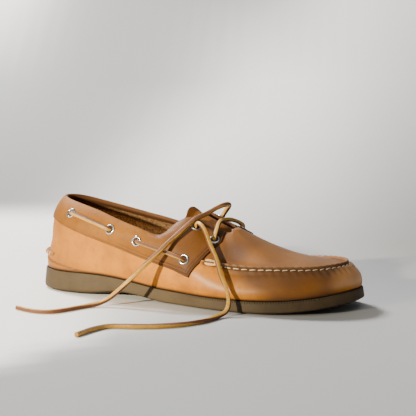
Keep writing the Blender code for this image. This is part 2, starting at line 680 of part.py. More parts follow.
def smooth_route(points, step):
    """Evenly spaced points on a smooth curve through a route's own points."""
    points = np.asarray(points, float)
    knots = np.concatenate([[0.0], np.cumsum(np.linalg.norm(np.diff(points, axis=0), axis=1))])
    fine = np.linspace(0, knots[-1], 600)
    curve = np.stack([spline(knots, points[:, i], fine) for i in range(3)], axis=-1)
    run = np.concatenate([[0.0], np.cumsum(np.linalg.norm(np.diff(curve, axis=0), axis=1))])
    count = max(3, int(round(run[-1] / step)) + 1)
    even = np.linspace(0, run[-1], count)
    return np.stack([np.interp(even, run, curve[:, i]) for i in range(3)], axis=-1)


def build_lace(name, route, collection, finish):
    """A round-sided lace along a route, as a bevelled curve with filled ends."""
    points = smooth_route(route, LACE_STEP * LACE_WIDTH)
    curve = bpy.data.curves.new(name, "CURVE")
    curve.dimensions = "3D"
    curve.bevel_depth = LACE_WIDTH / 2
    curve.bevel_resolution = 2
    curve.use_fill_caps = True
    line = curve.splines.new("POLY")
    line.points.add(len(points) - 1)
    for spot, point in zip(line.points, points):
        spot.co = (*point, 1)
    return add_object(name, curve, finish, collection)


def build_laces(collection, finish):
    """The lace where it shows: four side runs, the throat bar and the two loose ends."""
    for name, first, last in SIDE_RUNS:
        start, start_normal = locate(first)
        end, end_normal = locate(last)
        share = np.linspace(0, 1, 5)[:, None]
        route = start * (1 - share) + end * share
        normal = start_normal * (1 - share) + end_normal * share
        normal /= np.linalg.norm(normal, axis=1, keepdims=True)
        height = LACE_SEAT + CLEARANCE + RUN_BOW * 4 * share * (1 - share)
        build_lace(name, route + normal * height, collection, finish)
    outer, outer_normal = locate("outer_lower_facing")
    inner, inner_normal = locate("inner_lower_facing")
    x = BAR_CREST[0] * LENGTH
    crest = np.array([x, BAR_CREST[1] * BALL_WIDTH,
                      sole_profile(x)[1] + BAR_CREST[2] * UPPER_RISE])
    height = LACE_SEAT + BAR_LIFT
    route = [outer + outer_normal * height, crest, inner + inner_normal * height]
    build_lace("lace_throat_bar", route, collection, finish)
    build_lace("lace_end_a", np.array(LACE_END_A) * MM, collection, finish)
    build_lace("lace_end_b", np.array(LACE_END_B) * MM, collection, finish)


def build_heel_seam(collection, finish):
    """The gathered ridge of leather sewn across the heel's back, thinning towards its ends."""
    u = np.linspace(-HEEL_SEAM_REACH, HEEL_SEAM_REACH, HEEL_SEAM_STATIONS)
    fade = 0.35 + 0.65 * np.sqrt(np.clip(1 - (u / HEEL_SEAM_REACH) ** 2, 0, 1))
    rings = []
    for share, lift in HEEL_SEAM_PROFILE:
        level = HEEL_SEAM_LEVEL + (share - 0.5) * HEEL_SEAM_TALL * fade
        height = CLEARANCE + (0.15 + lift) * HEEL_TAB_THICKNESS * fade
        rings.append(surface(u, level) + surface_normal(u, level) * height[:, None])
    for share in (1.0, 0.5, 0.0):
        level = HEEL_SEAM_LEVEL + (share - 0.5) * HEEL_SEAM_TALL * fade
        rings.append(surface(u, level) + surface_normal(u, level) * CLEARANCE)
    count = len(u)
    sides = len(rings)
    faces = []
    for k in range(sides):
        low = k * count
        high = (k + 1) % sides * count
        for i in range(count - 1):
            faces.append((low + i, low + i + 1, high + i + 1, high + i))
    faces.append(tuple(k * count for k in range(sides)))
    faces.append(tuple(k * count + count - 1 for k in reversed(range(sides))))
    mesh = mesh_from("heel_seam", np.concatenate(rings), faces)
    return add_object("heel_seam", mesh, finish, collection)


def clear_scene():
    """Removes what the new file starts with."""
    for leftover in list(bpy.data.objects):
        bpy.data.objects.remove(leftover, do_unlink=True)


def main():
    clear_scene()
    shoe = bpy.data.collections.new("boat_shoe")
    bpy.context.scene.collection.children.link(shoe)
    tan = material("tan_leather", (0.56, 0.27, 0.11), 0.5)
    band_tan = material("band_leather", (0.6, 0.3, 0.13), 0.5)
    taupe = material("taupe_rubber", (0.16, 0.12, 0.08), 0.75)
    suede = material("brown_lining", (0.2, 0.1, 0.04), 0.9)
    build_sole(shoe, taupe)
    build_upper(shoe, tan)
    build_band(shoe, band_tan)
    build_insole(shoe, suede)
    build_tongue(shoe, tan)
    build_heel_seam(shoe, tan)
    nickel = material("nickel", (0.72, 0.72, 0.7), 0.25, 1.0)
    rawhide = material("rawhide_lace", (0.5, 0.3, 0.1), 0.6)
    build_eyelets(shoe, nickel)
    build_laces(shoe, rawhide)


main()
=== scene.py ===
# %% [markdown]
# A leather boat shoe, dressed for a studio picture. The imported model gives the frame: one shoe of
# 300 mm with its toe along +X and its outer side towards -Y. Each cell below takes one part of the
# real shoe, says what it is, and makes it in the same place with the finish that leather, rubber,
# metal and thread have.

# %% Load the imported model
import math

import bmesh
import bpy
import numpy as np
from mathutils import Matrix, Vector
from mathutils.bvhtree import BVHTree


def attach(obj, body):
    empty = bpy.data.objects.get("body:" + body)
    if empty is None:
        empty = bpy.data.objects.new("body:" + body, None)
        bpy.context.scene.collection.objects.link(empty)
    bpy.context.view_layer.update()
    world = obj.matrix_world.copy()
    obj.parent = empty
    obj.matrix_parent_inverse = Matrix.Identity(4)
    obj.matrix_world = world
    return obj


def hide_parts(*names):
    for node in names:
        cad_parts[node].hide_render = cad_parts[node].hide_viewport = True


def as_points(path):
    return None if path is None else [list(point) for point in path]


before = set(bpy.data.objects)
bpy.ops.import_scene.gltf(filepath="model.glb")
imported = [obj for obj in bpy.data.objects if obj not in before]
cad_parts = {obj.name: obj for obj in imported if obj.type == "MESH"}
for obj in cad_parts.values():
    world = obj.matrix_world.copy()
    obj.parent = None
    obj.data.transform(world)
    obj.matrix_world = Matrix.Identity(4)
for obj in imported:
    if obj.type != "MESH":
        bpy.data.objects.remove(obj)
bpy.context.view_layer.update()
MM = 0.001
print("nodes", len(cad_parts))

# %% [markdown]
# The camera stands low, in front of the outer side and a little towards the toe. A short lens close
# by would swell the toe and shrink the heel. A long lens from farther off keeps the shoe's
# proportions, as a product photographer would have it, so this one is far away with a narrow view.

# %% Camera
CAMERA_PLACE = (0.52124, -1.09949, 0.24671)
CAMERA_TURN = 24.89            # degrees round the vertical
CAMERA_DIP = 7.85              # degrees below the horizontal
LENS = 121.15
SENSOR = 36                    # the film's width in mm

lens = bpy.data.cameras.new("camera")
lens.lens = LENS
lens.sensor_width = SENSOR
camera = bpy.data.objects.new("camera", lens)
camera.location = CAMERA_PLACE
camera.rotation_euler = (math.radians(90 - CAMERA_DIP), 0, math.radians(CAMERA_TURN))
bpy.context.scene.collection.objects.link(camera)
bpy.context.scene.camera = camera
TO_CAMERA = np.array([math.sin(math.radians(CAMERA_TURN)), -math.cos(math.radians(CAMERA_TURN)),
                      math.sin(math.radians(CAMERA_DIP))])
print("camera turned", CAMERA_TURN, "and dipped", CAMERA_DIP, "degrees")

# %% [markdown]
# A finish is a tree of nodes, and most of its nodes only add, multiply or step. Each could be placed
# and linked line by line, but shader maths reads better as plain expressions. So a small class wraps
# a socket: mask * 2 adds the Math node that it needs, and one method makes every other node.


# %% Shader maths
class Value:
    """A socket that can be added to, multiplied and so on."""

    def __init__(self, finish, socket):
        self.finish = finish
        self.socket = socket

    def math(self, operation, first, second=None):
        values = {0: first}
        if second is not None:
            values[1] = second
        return self.finish.node("ShaderNodeMath", {"operation": operation}, values)

    def __add__(self, other):
        return self.math("ADD", self, other)

    def __sub__(self, other):
        return self.math("SUBTRACT", self, other)

    def __mul__(self, other):
        return self.math("MULTIPLY", self, other)

    def sine(self):
        return self.math("SINE", self)

    def smooth(self, low, high):
        """0 below the low value, 1 above the high one, and a soft step between."""
        settings = {"interpolation_type": "SMOOTHSTEP"}
        values = {"Value": self, "From Min": low, "From Max": high}
        return self.finish.node("ShaderNodeMapRange", settings, values)


class Finish:
    """A material and the nodes that make it."""

    def __init__(self, name):
        self.material = bpy.data.materials.new(name)
        self.material.use_nodes = True
        self.tree = self.material.node_tree
        self.shader = self.tree.nodes["Principled BSDF"]

    def feed(self, socket, value):
        if isinstance(value, Value):
            self.tree.links.new(value.socket, socket)
        else:
            socket.default_value = value

    def node(self, kind, settings=None, values=None, out=0):
        """Any node, with its settings first and then its sockets' values or links."""
        made = self.tree.nodes.new(kind)
        for key, value in (settings or {}).items():
            setattr(made, key, value)
        for key, value in (values or {}).items():
            self.feed(made.inputs[key], value)
        return Value(self, made.outputs[out])

    def place(self):
        return self.node("ShaderNodeTexCoord", out="Object")

    def math(self, operation, first, second):
        return self.node("ShaderNodeMath", {"operation": operation}, {0: first, 1: second})

    def axis(self, letter):
        """One of the place's three numbers, in metres."""
        return self.node("ShaderNodeSeparateXYZ", None, {0: self.place()}, out=letter)

    def noise(self, scale, detail=3.0, roughness=0.55, place=None):
        values = {"Vector": place or self.place(), "Scale": scale, "Detail": detail,
                  "Roughness": roughness}
        return self.node("ShaderNodeTexNoise", None, values)

    def attribute(self, name):
        return self.node("ShaderNodeAttribute", {"attribute_name": name}, out="Fac")

    def mix(self, factor, first, second):
        values = {0: factor, 6: first, 7: second}
        return self.node("ShaderNodeMix", {"data_type": "RGBA"}, values, out=2)

    def bump(self, height, distance, strength=1.0):
        return self.node("ShaderNodeBump", None,
                         {"Strength": strength, "Distance": distance, "Height": height})

    def set(self, **values):
        """Feeds the Principled shader: base_color becomes its Base Color, and so on."""
        for key, value in values.items():
            self.feed(self.shader.inputs[key.replace("_", " ").title()], value)
        return self.material


print("shader maths ready")

# %% [markdown]
# The upper is full-grain leather, oiled and lightly waxed. Hide has broad pale and dark clouds, finer
# streaks where it was stretched, and a pebble of pores less than a millimetre across. A scanned hide
# would show the same patch on every part, and pores as geometry would need millions of faces. Noise
# at several scales gives clouds and pores without either. Where the leather is folded or rubbed it
# goes darker, and that follows the shoe and not chance, so it comes from a mask on the mesh. That
# mask also carries painted shade, mixed in with the same dark tone.


# %% Leather
def leather(name, light, deep, burnt_and_shade, gloss=0.46, grain=0.00012):
    """Waxed leather with clouds, pores, and a darker tone where the mesh asks for it: burnish and painted
    shade.
    """
    f = Finish(name)
    clouds = f.noise(17, 2).smooth(0.32, 0.70) * 0.6 + f.noise(62, 4, 0.6).smooth(0.3, 0.75) * 0.55
    streaks = f.noise(210, 4, 0.7).smooth(0.46, 0.80)
    patina = f.noise(31, 3, 0.5).smooth(0.48, 0.70)
    color = f.mix(clouds, light, deep)
    color = f.mix(streaks * 0.34, color, burnt_and_shade)
    color = f.mix(patina * 0.16, color, burnt_and_shade)
    # The mesh's mask mixes in the dark tone: partly wear, partly painted shade.
    color = f.mix(f.attribute("wear_and_painted_shade"), color, burnt_and_shade)
    # The pale tone is the raw cut edge, and on the toe's tip partly a painted highlight.
    color = f.mix(f.attribute("raw_edge_and_highlight"), color, (0.72, 0.43, 0.22, 1))
    pores = f.node("ShaderNodeTexVoronoi", {"feature": "SMOOTH_F1"},
                   {"Vector": f.place(), "Scale": 1250, "Smoothness": 0.35})
    height = pores * 0.75 + f.noise(3400, 2) * 0.25 + f.noise(300, 3) * 0.9
    rough = f.noise(90, 4).smooth(0.2, 0.85) * 0.16 + gloss
    for socket, value in (("Specular IOR Level", 0.13), ("Coat Roughness", 0.46)):
        f.shader.inputs[socket].default_value = value
    coat = f.attribute("polish") * 0.9 + 0.02
    return f.set(base_color=color, roughness=rough, coat_weight=coat, normal=f.bump(height, grain))


tan_leather = leather("tan_leather", (0.625, 0.226, 0.011, 1), (0.438, 0.150, 0.009, 1),
                      (0.108, 0.045, 0.015, 1))
band_leather = leather("band_leather", (0.28, 0.102, 0.007, 1), (0.20, 0.072, 0.006, 1),
                       (0.070, 0.027, 0.009, 1))
binding_leather = leather("binding_leather", (0.130, 0.059, 0.024, 1), (0.094, 0.041, 0.016, 1),
                          (0.076, 0.030, 0.011, 1), gloss=0.6)
tongue_leather = leather("tongue_leather", (0.200, 0.073, 0.009, 1), (0.150, 0.052, 0.007, 1),
                         (0.085, 0.026, 0.006, 1), gloss=0.5)
print("leathers ready")

# %% [markdown]
# The other finishes are quieter. The sole is a matte moulded rubber with faint upright brush marks,
# the lining is a brushed pile, the laces are rawhide cut square with a golden face and a redder cut
# side, the threads are waxed, and the eyelets are plated metal. The sole's fine cuts and ribs could
# be carved, but they are shallow and nobody sees the underside, so a wave in the bump gives them. The
# lace's two colours must follow its twist, so they are read from the mesh.


# %% Rubber
RIB_PITCH = 2.3 * MM
SIPE_PITCH = 4.4 * MM
SIPE_WAVE = 3.6 * MM


def rubber():
    """Moulded rubber: brushed wall, ribs on the forefoot's lip, and wave cuts underneath."""
    f = Finish("sole_rubber")
    spots = f.noise(60, 4).smooth(0.3, 0.75)
    color = f.mix(spots, (0.073, 0.046, 0.019, 1), (0.054, 0.033, 0.013, 1))
    rib_wave = (f.attribute("run") * (2 * math.pi / RIB_PITCH)).sine()
    ribs = rib_wave.smooth(-0.2, 0.9) * f.attribute("rib")
    zigzag = f.math("PINGPONG", f.axis("Y"), SIPE_WAVE)
    cut_wave = ((f.axis("X") + zigzag) * (2 * math.pi / SIPE_PITCH)).sine()
    cuts = cut_wave.smooth(0.78, 0.95) * f.attribute("under")
    dark = (0.022, 0.014, 0.007, 1)
    # Painted shade in the ribs' grooves and the cuts underneath, and where the mesh's mask asks for it.
    color = f.mix(ribs * 0.55, color, dark)
    color = f.mix(cuts * 0.85, color, dark)
    color = f.mix(f.attribute("wear_and_painted_shade"), color, dark)
    stretch = f.node("ShaderNodeMapping", None, {"Vector": f.place(), "Scale": (1, 1, 0.12)})
    brushed = f.noise(1500, 2, 0.6, stretch)
    height = brushed * 0.12 + f.noise(2600, 2) * 0.06 - ribs - cuts * 1.5
    rough = f.noise(150, 3) * 0.12 + 0.62
    f.shader.inputs["Specular IOR Level"].default_value = 0.3
    return f.set(base_color=color, roughness=rough, normal=f.bump(height, 0.0006))


sole_rubber = rubber()
print("rubber ready")

# %% [markdown]
# Pile, rawhide, thread and plating are small in the picture, so each has one idea: tufts, fibres, a
# twist or scuffs, as one noise that serves the colour and the bump alike. More would not be seen.


# %% Pile, rawhide, thread and metal
def lining_pile():
    """Brushed pile in pale tufts, with painted shade where the mask asks for it, below the binding."""
    f = Finish("lining_pile")
    tufts = f.noise(620, 4, 0.7)
    tips = tufts.smooth(0.30, 0.62)
    color = f.mix(tips, (0.36, 0.143, 0.031, 1), (0.97, 0.57, 0.190, 1))
    shaded = f.mix(tips, (0.024, 0.010, 0.004, 1), (0.135, 0.062, 0.020, 1))
    color = f.mix(f.attribute("wear_and_painted_shade"), color, shaded)
    height = tufts + f.noise(1900, 3) * 0.5
    return f.set(base_color=color, roughness=0.95, normal=f.bump(height, 0.0009))


def rawhide():
    """Rawhide: golden on its face, and redder where the knife cut it."""
    f = Finish("rawhide_lace")
    cut = f.attribute("cut_side")
    fibres = f.noise(520, 4, 0.7)
    strands = fibres.smooth(0.3, 0.75)
    face = f.mix(strands, (0.50, 0.272, 0.029, 1), (0.345, 0.168, 0.015, 1))
    side = f.mix(strands, (0.150, 0.045, 0.013, 1), (0.080, 0.022, 0.007, 1))
    color = f.mix(cut, face, side)
    rough = cut * 0.2 + 0.46
    height = fibres * 0.6 + f.noise(2200, 2) * 0.4
    return f.set(base_color=color, roughness=rough, normal=f.bump(height, 0.00018))


def thread(name, light, deep):
    """Waxed thread, with a fine twist."""
    f = Finish(name)
    twist = f.noise(2400, 2)
    color = f.mix(twist.smooth(0.35, 0.7), light, deep)
    return f.set(base_color=color, roughness=0.6, normal=f.bump(twist, 0.0001))


def plated_metal():
    """Bright plating with faint scuffs."""
    f = Finish("nickel")
    scuffs = f.noise(900, 4).smooth(0.3, 0.8)
    return f.set(base_color=(0.60, 0.60, 0.59, 1), metallic=1.0, roughness=scuffs * 0.12 + 0.13)


def plain(name, color, roughness):
    """One quiet colour with darker spots."""
    f = Finish(name)
    spots = f.noise(700, 3)
    shade = f.mix(spots.smooth(0.3, 0.7), color, tuple(c * 0.7 for c in color[:3]) + (1,))
    return f.set(base_color=shade, roughness=roughness)


lining = lining_pile()
rawhide_lace = rawhide()
cream_thread = thread("cream_thread", (0.80, 0.69, 0.50, 1), (0.62, 0.50, 0.32, 1))
brown_thread = thread("brown_thread", (0.15, 0.052, 0.016, 1), (0.09, 0.030, 0.010, 1))
nickel = plated_metal()
# Painted shade for the inside of each eyelet's barrel.
hole_painted_shade = plain("hole_painted_shade", (0.045, 0.020, 0.010, 1), 0.9)
insole_leather = leather("insole_leather", (0.24, 0.115, 0.045, 1), (0.19, 0.085, 0.032, 1),
                         (0.10, 0.04, 0.015, 1), gloss=0.6)
print("finishes ready")

# %% [markdown]
# The lace is one long rawhide thong, cut square. Its two untied ends hang over the outer side and run
# out on the floor. A cord could be dropped by a simulation, but stiff rawhide keeps the bends that
# hands gave it, and a simulation wouldn't find those. So each end is a route: a list of points in
# millimetres, with one smooth curve through them.

# %% Routes of the loose lace ends
LACE_WIDTH = 3.6 * MM
LACE_END_A = (                 # from the eyelet down to the cut end, in mm
    (11.1, 28.5, 66.5), (12.6, 31.0, 70.8), (16.0, 30.0, 75.2), (20.0, 25.5, 79.2), (21.8, 18.5, 81.2),
    (20.0, 11.0, 81.0), (16.0, 4.0, 78.6), (12.4, -7.0, 75.2), (9.6, -18.0, 73.2),
    (7.6, -28.0, 70.0), (4.8, -35.2, 65.7), (1.2, -40.6, 61.0), (-3.6, -46.6, 55.6),
    (-7.6, -51.4, 50.2), (-13.4, -54.4, 44.0), (-20.5, -57.0, 37.0), (-28.6, -60.6, 28.0),
    (-37.4, -65.2, 18.4), (-46.0, -69.6, 9.8), (-53.4, -74.0, 4.4), (-60.2, -81.0, 2.3),
    (-66.0, -92.0, 1.9), (-71.5, -106.0, 1.9), (-79.2, -117.4, 1.9), (-92.0, -121.0, 1.9),
    (-113.6, -114.8, 1.9),
)
LACE_END_B = (
    (10.8, -23.9, 66.1), (13.9, -26.9, 69.7), (20.2, -31.0, 68.0), (29.8, -36.2, 54.0),
    (36.6, -41.0, 45.8), (42.0, -46.0, 38.2), (46.2, -50.0, 31.0), (52.0, -54.4, 23.8),
    (56.2, -58.0, 17.0), (58.6, -61.8, 10.4), (58.8, -66.0, 5.5), (56.4, -74.4, 2.6),
    (53.3, -93.0, 2.05), (46.1, -109.6, 2.05), (33.8, -123.8, 2.05), (21.7, -132.0, 2.05),
    (8.6, -138.4, 2.05), (-8.0, -145.4, 2.05), (-14.6, -161.2, 2.05), (-16.2, -182.6, 2.05),
)


def spline(knots, values, at):
    """A natural cubic spline through the knots, read at the places asked for."""
    knots = np.asarray(knots, float)
    values = np.asarray(values, float)
    at = np.asarray(at, float)
    count = len(knots)
    step = np.diff(knots)
    system = np.zeros((count, count))
    system[0, 0] = 1
    system[-1, -1] = 1
    right = np.zeros(count)
    for i in range(1, count - 1):
        system[i, i - 1:i + 2] = (step[i - 1], 2 * (step[i - 1] + step[i]), step[i])
        rise = (values[i + 1] - values[i]) / step[i]
        right[i] = 6 * (rise - (values[i] - values[i - 1]) / step[i - 1])
    bend = np.linalg.solve(system, right)
    i = np.clip(np.searchsorted(knots, at) - 1, 0, count - 2)
    h = step[i]
    left = knots[i + 1] - at
    gone = at - knots[i]
    cubic = (bend[i] * left ** 3 + bend[i + 1] * gone ** 3) / (6 * h)
    start = (values[i] / h - bend[i] * h / 6) * left
    end = (values[i + 1] / h - bend[i + 1] * h / 6) * gone
    return cubic + start + end


def length_along(points):
    """The distance from the first point to each point of a line."""
    steps = np.linalg.norm(np.diff(points, axis=0), axis=1)
    return np.concatenate([[0.0], np.cumsum(steps)])


def smooth_route(points, step):
    """Evenly spaced points on a smooth curve through a route's own points."""
    points = np.asarray(points, float)
    knots = length_along(points)
    fine = np.linspace(0, knots[-1], 900)
    curve = np.stack([spline(knots, points[:, i], fine) for i in range(3)], axis=-1)
    run = length_along(curve)
    even = np.linspace(0, run[-1], max(4, int(round(run[-1] / step)) + 1))
    return np.stack([np.interp(even, run, curve[:, i]) for i in range(3)], axis=-1)


def unit(vectors):
    return vectors / np.linalg.norm(vectors, axis=-1, keepdims=True)


print("lace ends", round(length_along(smooth_route(np.array(LACE_END_A) * MM, MM))[-1], 4),
      round(length_along(smooth_route(np.array(LACE_END_B) * MM, MM))[-1], 4))

# %% [markdown]
# A few helpers turn points into finished pieces. A piece could be modelled small and then moved into
# place, but each mesh here already holds its place on the shoe, so its object stays at the origin and
# nothing has to be fitted. Masks such as the wear and painted shade are float attributes on the points.


# %% Mesh helpers
def piece_from(name, points, faces, *materials, masks=None):
    """A smooth-shaded object from points and faces, with its materials and point masks."""
    mesh = bpy.data.meshes.new(name)
    mesh.from_pydata(np.asarray(points, float).reshape(-1, 3).tolist(), [], faces)
    for key, value in (masks or {}).items():
        layer = mesh.attributes.new(key, "FLOAT", "POINT")
        layer.data.foreach_set("value", np.asarray(value, np.float32).reshape(-1))
    for finish in materials:
        mesh.materials.append(finish)
    mesh.polygons.foreach_set("use_smooth", [True] * len(mesh.polygons))
    made = bpy.data.objects.new(name, mesh)
    bpy.context.scene.collection.objects.link(made)
    return made


def grid_faces(rows, across, closed=False, ring=False):
    """Quads of a grid that runs along the stations row by row. Ring joins the last row to the first."""
    faces = []
    for row in range(rows if ring else rows - 1):
        low = row * across
        high = (row + 1) % rows * across
        for i in range(across if closed else across - 1):
            j = (i + 1) % across
            faces.append((low + i, low + j, high + j, high + i))
    return faces


def end_faces(rings, sides):
    """The two faces that close a tube of rings."""
    return [tuple(range(sides))[::-1], tuple(range((rings - 1) * sides, rings * sides))]


def side_faces(rows, across):
    """The two faces that close a section which runs along stations."""
    return [tuple(row * across + station for row in range(rows)) for station in (0, across - 1)]


def apply_modifiers(piece):
    """Bakes a piece's modifiers into its mesh."""
    evaluated = piece.evaluated_get(bpy.context.evaluated_depsgraph_get())
    mesh = bpy.data.meshes.new_from_object(evaluated)
    piece.modifiers.clear()
    piece.data = mesh


def outward(piece):
    """Turns a closed piece's faces out."""
    work = bmesh.new()
    work.from_mesh(piece.data)
    bmesh.ops.recalc_face_normals(work, faces=work.faces)
    work.to_mesh(piece.data)
    work.free()


def hand_over(piece, slot, *nodes):
    """Rides on the shoe and stands for its solids, which it hides."""
    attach(piece, "root")
    if nodes:
        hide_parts(*nodes)
    triangles = sum(len(face.vertices) - 2 for face in piece.data.polygons)
    print(piece.name, triangles, "triangles")


print("helpers ready")

# %% [markdown]
# A rawhide thong has four faces and soft corners, and it was cut by hand, so its width wavers. A
# bevelled curve would give an even tube, which is right for a round cord and too perfect here. So a
# rounded square is set on every step of the route, a little larger or smaller each time, and it
# rolls on the way: here the golden face shows and there the cut side.

# %% A thong along a route
THONG_CORNER = 0.62 * MM
THONG_SIDES = 20
THONG_STEP = 1.1 * MM
THONG_WAVES = (0.0031, 0.0052, 0.011)     # how long the wavers in its width are, over 2 pi
THONG_WAVER = 0.028
THONG_THIN = 0.93              # the cut sides stand a little closer than the faces
END_TAPER = 0.25               # how large the cut end's middle is


def thong_section(width, corner):
    """A rounded square, as offsets across and up, with the direction that each point faces."""
    angles = (np.arange(THONG_SIDES) + 0.5) / THONG_SIDES * 2 * math.pi
    flat = width / 2 - corner
    across = np.clip(np.cos(angles) * 1.6 * flat, -flat, flat)
    up = np.clip(np.sin(angles) * 1.6 * flat, -flat, flat)
    return across + np.cos(angles) * corner, up + np.sin(angles) * corner, angles


def thong(name, route, roll, width=LACE_WIDTH):
    """A lace along a route. Roll gives (point of the route, degrees) for its golden face."""
    line = smooth_route(route, THONG_STEP)
    run = length_along(np.asarray(route, float))
    marks = np.interp([r[0] for r in roll], np.arange(len(run)), run / run[-1])
    count = len(line)
    along = unit(np.gradient(line, axis=0))
    across = unit(np.cross(along, unit(TO_CAMERA)))
    up = np.cross(across, along)
    share = np.linspace(0, 1, count)
    turn = np.radians(np.interp(share, marks, [r[1] for r in roll]))
    wobble = np.random.default_rng(len(name) * 7 + count)
    waves = sum(np.sin(share * count * THONG_STEP / wave + wobble.uniform(0, 6.28))
                for wave in THONG_WAVES)
    size = (1 + THONG_WAVER * waves)[:, None, None]
    right = across * np.cos(turn)[:, None] + up * np.sin(turn)[:, None]
    top = up * np.cos(turn)[:, None] - across * np.sin(turn)[:, None]
    a, b, angles = thong_section(width * 0.98, THONG_CORNER)
    points = (line[:, None] + right[:, None] * (a * THONG_THIN)[None, :, None] * size
              + top[:, None] * b[None, :, None] * size)
    cut = np.clip((0.68 - np.abs(np.sin(angles))) / 0.08, 0, 1)
    head = points[:1] * END_TAPER + line[0] * (1 - END_TAPER)
    tail = points[-1:] * END_TAPER + line[-1] * (1 - END_TAPER)
    points = np.concatenate([head, points, tail])
    rings = len(points)
    faces = grid_faces(rings, THONG_SIDES, closed=True) + end_faces(rings, THONG_SIDES)
    masks = np.tile(cut, (rings, 1))
    masks[[0, 1, -2, -1]] = 0.35
    made = piece_from(name, points, faces, rawhide_lace, masks={"cut_side": masks})
    return made, line


print("a thong has", THONG_SIDES, "points round it")

# %% [markdown]
# The two loose ends are made of that thong. Each says at some points of its route how far its golden
# face has rolled, and between them it rolls evenly.

# %% The loose lace ends
ROLL_A = ((0, 40), (5, 60), (13, 56), (15, 26), (17, -28), (19, -52), (21, -80), (26, -86))
ROLL_B = ((0, 24), (6, 27), (9, -16), (11, -42), (12, -80), (13, -134), (15, -163), (19, -160))

end_a, line_a = thong("lace_hanging_a", np.array(LACE_END_A) * MM, ROLL_A)
end_b, line_b = thong("lace_hanging_b", np.array(LACE_END_B) * MM, ROLL_B)
for end, line, node in ((end_a, line_a, "lace_end_a"), (end_b, line_b, "lace_end_b")):
    outward(end)
    hand_over(end, "rawhide_lace", node)
    path = [tuple(point) for point in line[::3]] + [tuple(line[-1])]
    tuple(line[0])
    float(length_along(line)[-1])
    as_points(path)

# %% [markdown]
# A shoe is built over a last, a solid foot that gives it its form. It could be sculpted, or the solid
# model's own mesh could be covered, but neither says where the seam or the collar runs. So the last
# is one table: a section every few centimetres round it, with the sole's outline, the moccasin seam
# and the collar as shares of length, ball width and rise. The solid model follows the same table, so
# what is made from it here lies on those solids.

# %% The last: sizes and sections
LENGTH = 300 * MM
BALL_WIDTH = 105 * MM
UPPER_RISE = 65 * MM
SOLE_HEEL = 19 * MM
SOLE_BALL = 10.5 * MM
TOE_SPRING = 8 * MM
ARCH_LIFT = 4.3 * MM
SOLE_SLANT = 1.6 * MM
FEATHER_INSET = 1.4 * MM
CLEARANCE = 0.3 * MM
BULGE = 4.4 * MM
SIDE_SWELL = 3.2 * MM
LOW_PULL = 0.38
HIGH_PULL = 0.42
VAMP_PULL = 0.10
WRAP = 6

